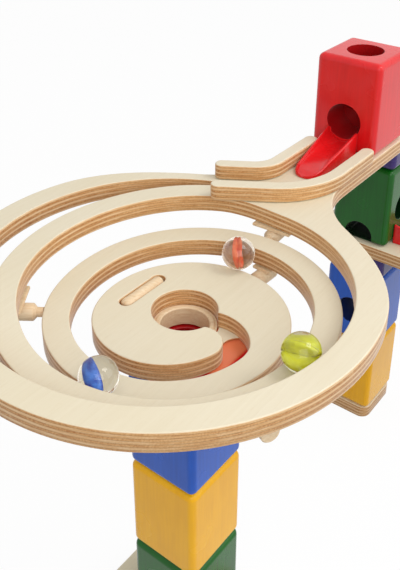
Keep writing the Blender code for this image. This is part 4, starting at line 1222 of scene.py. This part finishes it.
def spacer(name, node, theta, upper_height, upper_edge, ledge_wide=LEDGE_WIDE):
    """Spacer from the lower turn's edge to a post and ledge under the upper turn."""
    edge = outer_edge(theta)
    away = (edge - half_turn(theta)[0]).normalized()
    gap = (upper_edge - edge).dot(away)
    ledge_top = upper_height - PLY - 2.0 * SEAT
    axis = min(-DROP * drop_share(theta) - PEG_BELOW, ledge_top - LEDGE_HIGH - PEG_HEAD + 0.5)
    place = SPIRAL @ shift(*edge, axis) @ rotate(math.degrees(math.atan2(away.y, away.x)))
    reach = gap + PEG_PAST
    profile = [(SEAT, PEG_NECK), (NECK_END, PEG_NECK), (NECK_END + 1.4, PEG_HEAD - 0.2),
               (NECK_END + 1.7, PEG_HEAD), (reach - 0.4, PEG_HEAD), (reach, PEG_HEAD - 0.4)]
    piece = make_piece(name, lathe(profile), place, BEECH)
    post_top = ledge_top - axis - LEDGE_HIGH / 2.0
    ledge = box((LEDGE_LONG, ledge_wide, LEDGE_HIGH), (gap + LEDGE_OUT, 0, post_top))
    bmesh.ops.bevel(ledge, geom=ledge.edges[:], offset=LEDGE_EDGE, segments=2, affect="EDGES")
    post = rod(POST, post_top, 48)
    bmesh.ops.translate(post, verts=post.verts, vec=(reach - POST_BACK, 0, post_top / 2.0))
    tools = [make_piece(name + "_tool", bm, place, BEECH) for bm in (ledge, post)]
    combine(piece, "UNION", tools)
    settle(piece, tools)
    piece.data.set_sharp_from_angle(angle=math.radians(RING_ANGLE))
    dress(piece, "spiral", "beech", node)


front_peg = 297.0
spacer("spacer_a", "spacer_peg_1", front_peg, 0.0, RING_INNER * direction(front_peg))
for name, node, theta, wide in (("spacer_b", "spacer_peg_2", 415.5, LEDGE_WIDE),
                                ("spacer_c", "spacer_peg_3", 538.0, LEDGE_WIDE),
                                ("spacer_d", "spacer_peg_4", 770.0, LEDGE_SLIM)):
    upper = inner_edge(theta - 360.0)
    spread = math.degrees(LEDGE_WIDE / 2.0 / upper.length)
    spacer(name, node, theta, -DROP * drop_share(theta - 360.0 + spread), upper, wide)

# %% [markdown]
# ## Glass
# A cat's-eye marble is clear glass, pressed hot round a few coloured vanes. The outside is
# smooth and faintly tinted, and it bends the light strongly. The vanes are dense glass with
# soft streaks. The colour could be mixed into one glass, but then it would not stay in the
# middle, so ball and vanes have a finish each.

# %% Glass finishes
def clear_glass(name, tint):
    """Clear soda glass, faintly tinted: sharp reflections, strong refraction."""
    finish, tree, shader = new_finish(name)
    place = add_node(tree, "ShaderNodeTexCoord").outputs["Object"]
    # Wisps of tint, 9 mm long
    wisp = add_node(tree, NOISE, {"Vector": place, "Scale": 1000 / 9.0, "Detail": 1.0})
    tone = add_node(tree, RAMP, {"Fac": wisp}, {0.0: tint, 1.0: "FFFFFF"})
    connect(tree, shader, {"Base Color": tone, "Transmission Weight": 1.0, "Roughness": 0.0,
                           "IOR": 1.5})
    return finish


def vane_glass(name, colour, light):
    """Coloured glass of a vane: dense, softly streaked."""
    finish, tree, shader = new_finish(name)
    place = add_node(tree, "ShaderNodeTexCoord").outputs["Object"]
    # Streaks 2.5 mm wide
    streak = add_node(tree, NOISE, {"Vector": place, "Scale": 1000 / 2.5, "Detail": 2.0})
    tone = add_node(tree, RAMP, {"Fac": streak}, {0.35: colour, 0.7: light})
    connect(tree, shader, {"Base Color": tone, "Roughness": 0.3, "IOR": 1.5})
    return finish


# For each marble: tint of the ball, colour of the vanes, colour of their lighter streaks
GLASS = {
    "yellow": ("F3F2C4", "CED000", "E6EA1C"),
    "blue": ("DEDCCC", "0830B0", "3E86F0"),
    # The orange ball's brownish tint is partly painted: it stands for the brown wood seen through
    # the glass
    "orange": ("D8C3A0", "EA4E1E", "F58A5A"),
}
BALLS = {colour: clear_glass("clear_glass_" + colour, tint)
         for colour, (tint, vane, light) in GLASS.items()}
CORES = {colour: vane_glass("vane_glass_" + colour, vane, light)
         for colour, (tint, vane, light) in GLASS.items()}
print("finishes:", [finish.name for finish in (*BALLS.values(), *CORES.values())])

# %% [markdown]
# ## Vanes
# The vanes were twisted while the glass was soft. They repeat about the marble's axis and
# follow a twist, which is a rule. They could be modelled one by one, but a node tree presses
# one ball to a lens, winds it along the axis and turns copies of it, so each marble only
# needs its own five numbers.

# %% Geometry Nodes: vanes
# Below a half, so that the vanes meet at the axis
VANE_OUT = 0.36


def vane_tree():
    """Node tree for a bundle of twisted vanes about Z."""
    tree, given = new_tree("twisted_vanes", {
        "Vanes": "Int", "Length": "Float", "Reach": "Float", "Thickness": "Float",
        "Twist": "Float"})
    ball = add_node(tree, "GeometryNodeMeshUVSphere", {"Segments": 40, "Rings": 32,
                                                       "Radius": 0.5})
    out = add_node(tree, VECTOR_MATH, {0: given["Reach"], 1: (VANE_OUT, 0, 0)},
                   operation="MULTIPLY")
    size = add_node(tree, "ShaderNodeCombineXYZ", {0: given["Reach"], 1: given["Thickness"],
                                                   2: given["Length"]})
    lens = add_node(tree, "GeometryNodeTransform", {"Geometry": ball, "Translation": out,
                                                    "Scale": size})
    # Wind it: the angle grows with the height
    spot = add_node(tree, "GeometryNodeInputPosition")
    height = add_node(tree, "ShaderNodeSeparateXYZ", {0: spot}).outputs[2]
    share = add_node(tree, MATH, {0: height, 1: given["Length"]}, operation="DIVIDE")
    angle = add_node(tree, MATH, {0: share, 1: given["Twist"]}, operation="MULTIPLY")
    wound = add_node(tree, "ShaderNodeVectorRotate", {"Vector": spot, "Axis": (0, 0, 1),
                     "Angle": angle}, rotation_type="AXIS_ANGLE")
    vane = add_node(tree, "GeometryNodeSetPosition", {"Geometry": lens, "Position": wound})
    soft = add_node(tree, "GeometryNodeSetShadeSmooth", {0: vane})
    # Copies of it, turned evenly about the axis
    points = add_node(tree, "GeometryNodeMeshLine", {"Count": given["Vanes"],
                                                     "Offset": (0, 0, 0)})
    number = add_node(tree, "GeometryNodeInputIndex")
    round_trip = add_node(tree, MATH, {0: number, 1: 2.0 * math.pi}, operation="MULTIPLY")
    turn = add_node(tree, MATH, {0: round_trip, 1: given["Vanes"]}, operation="DIVIDE")
    about = add_node(tree, "ShaderNodeCombineXYZ", {2: turn})
    copies = add_node(tree, "GeometryNodeInstanceOnPoints", {"Points": points, "Instance": soft,
                                                             "Rotation": about})
    whole = add_node(tree, "GeometryNodeRealizeInstances", {0: copies})
    painted = add_node(tree, "GeometryNodeSetMaterial", {"Geometry": whole,
                                                         "Material": given["Finish"]})
    add_node(tree, "NodeGroupOutput", {0: painted})
    return tree


VANES = vane_tree()
print("tree:", VANES.name, len(VANES.nodes), "nodes")

# %% [markdown]
# ## Marbles
# Three marbles of 16 mm lie on the track: a yellow one filled by broad vanes, a blue one with
# a single wound vane, and an orange one with a narrow core. Each ball takes the place of its
# solid. The vanes could float free in it, but they have to roll with the ball, so they ride
# the same body.

# %% Marbles
MARBLE = 8.0


def marble(colour, shape, tilt, heading, roll):
    """Glass ball in place of a marble solid, with its vanes inside."""
    node = "marble_" + colour
    body = colour + "_marble"
    slot = colour + "_glass"
    low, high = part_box(node)
    middle = shift(*((Vector(low) + Vector(high)) / 2.0 / MM))
    bm = bmesh.new()
    bmesh.ops.create_uvsphere(bm, u_segments=64, v_segments=40, radius=MARBLE)
    ball = make_piece("marble_glass_" + colour, bm, middle, BALLS[colour])
    dress(ball, body, slot, node)
    core = make_piece("marble_vanes_" + colour, bmesh.new(), Matrix.Identity(4), CORES[colour])
    apply_tree(core, VANES, {**shape, "Finish": CORES[colour]})
    turn = rotate(heading) @ rotate(tilt, "Y") @ rotate(roll)
    core.data.transform(Matrix.Scale(MM, 4) @ middle @ turn)
    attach(core, body)
    print(core.name, len(core.data.polygons), "faces")


marble("yellow", {"Vanes": 3, "Length": 13.0, "Reach": 6.4, "Thickness": 3.2, "Twist": 0.5},
       tilt=90, heading=-15, roll=80)
marble("blue", {"Vanes": 1, "Length": 12.6, "Reach": 4.5, "Thickness": 2.0, "Twist": -1.6},
       tilt=48, heading=118, roll=62)
marble("orange", {"Vanes": 3, "Length": 11.6, "Reach": 2.3, "Thickness": 1.1, "Twist": 1.4},
       tilt=43, heading=96, roll=85)

# %% [markdown]
# ## Hidden pins
# Locating pins keep the blocks in line. They sit inside the blocks and are plain rods. They
# could be turned again here, but their solids are right as they are, so they only get the
# beech finish.

# %% Pins
pins = [node for name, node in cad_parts.items() if "_pin_" in name]
for pin in pins:
    pin.data.materials.clear()
    pin.data.materials.append(BEECH)
print(len(pins), "pins in beech")

# %% [markdown]
# ## Floor
# The photograph is a cut-out on white. A plain white floor would need so much light that the
# object clips. So the floor is matt paper that takes a soft shadow, and to the camera, in
# reflections and through the glass most of it is plain white.

# %% Floor
FLOOR_WHITE = 0.94
PAPER = 0.38
FLOOR_SIZE = 4000.0
FLOOR_LEVEL = -0.3


def seen_rays(tree):
    """1 for a ray from the camera, from a reflection or through glass, and 0 for the rest."""
    rays = add_node(tree, "ShaderNodeLightPath").outputs
    direct = add_node(tree, MATH, {0: rays["Is Camera Ray"], 1: rays["Is Glossy Ray"]},
                      operation="MAXIMUM")
    return add_node(tree, MATH, {0: direct, 1: rays["Is Transmission Ray"]},
                    operation="MAXIMUM")


def floor_finish():
    """Matt white paper that shows the camera a white ground with a light shadow."""
    finish = bpy.data.materials.new("white_paper")
    finish.use_nodes = True
    tree = finish.node_tree
    tree.nodes.clear()
    seen = seen_rays(tree)
    share = add_node(tree, MATH, {0: seen, 1: FLOOR_WHITE}, operation="MULTIPLY")
    paper = add_node(tree, RANGE, {"Value": seen, "To Min": PAPER})
    matt = add_node(tree, "ShaderNodeBsdfDiffuse", {"Color": paper})
    white = add_node(tree, "ShaderNodeEmission", {"Color": (1, 1, 1, 1), "Strength": 1.0})
    mix = add_node(tree, "ShaderNodeMixShader", {0: share, 1: matt, 2: white})
    add_node(tree, "ShaderNodeOutputMaterial", {0: mix})
    return finish


ground = bmesh.new()
bmesh.ops.create_grid(ground, x_segments=1, y_segments=1, size=FLOOR_SIZE)
floor = make_piece("floor", ground, shift(0, 0, FLOOR_LEVEL), floor_finish())
print("floor at", FLOOR_LEVEL, "mm")

# %% [markdown]
# ## Light
# The light in the photograph comes softly from the upper right, and the shadows are pale. One
# lamp would leave the left sides dark. So a wide lamp at the upper right lights the wood, a
# larger one like a window washes the right sides, a third fills in from the front, and a
# pale world does the rest.

# %% Light
WORLD_LEVEL = 0.62
world = bpy.data.worlds.new("studio")
bpy.context.scene.world = world
world.use_nodes = True
sky = world.node_tree
sky.nodes.clear()
sky_level = add_node(sky, RANGE, {"Value": seen_rays(sky), "To Min": WORLD_LEVEL})
sky_light = add_node(sky, "ShaderNodeBackground", {"Color": (1, 1, 1, 1),
                                                   "Strength": sky_level})
add_node(sky, "ShaderNodeOutputWorld", {0: sky_light})


def lamp(name, place, aim, size, power):
    """Wide soft lamp aimed at a point."""
    data = bpy.data.lights.new(name, "AREA")
    data.shape = "SQUARE"
    data.size = size
    data.energy = power
    light = bpy.data.objects.new(name, data)
    light.location = place
    light.rotation_euler = (Vector(aim) - Vector(place)).to_track_quat("-Z", "Y").to_euler()
    bpy.context.scene.collection.objects.link(light)


lamp("upper_right", place=(0.58, -0.12, 1.03), aim=(0.0, 0.0, 0.2), size=0.42, power=2.8)
lamp("right_window", place=(0.85, -0.1, 0.5), aim=(0.05, 0.05, 0.15), size=0.7, power=1.6)
lamp("front_fill", place=(0.1, -0.55, 0.55), aim=(0.0, 0.0, 0.18), size=0.5, power=1.6)
print("three lamps and a pale world")
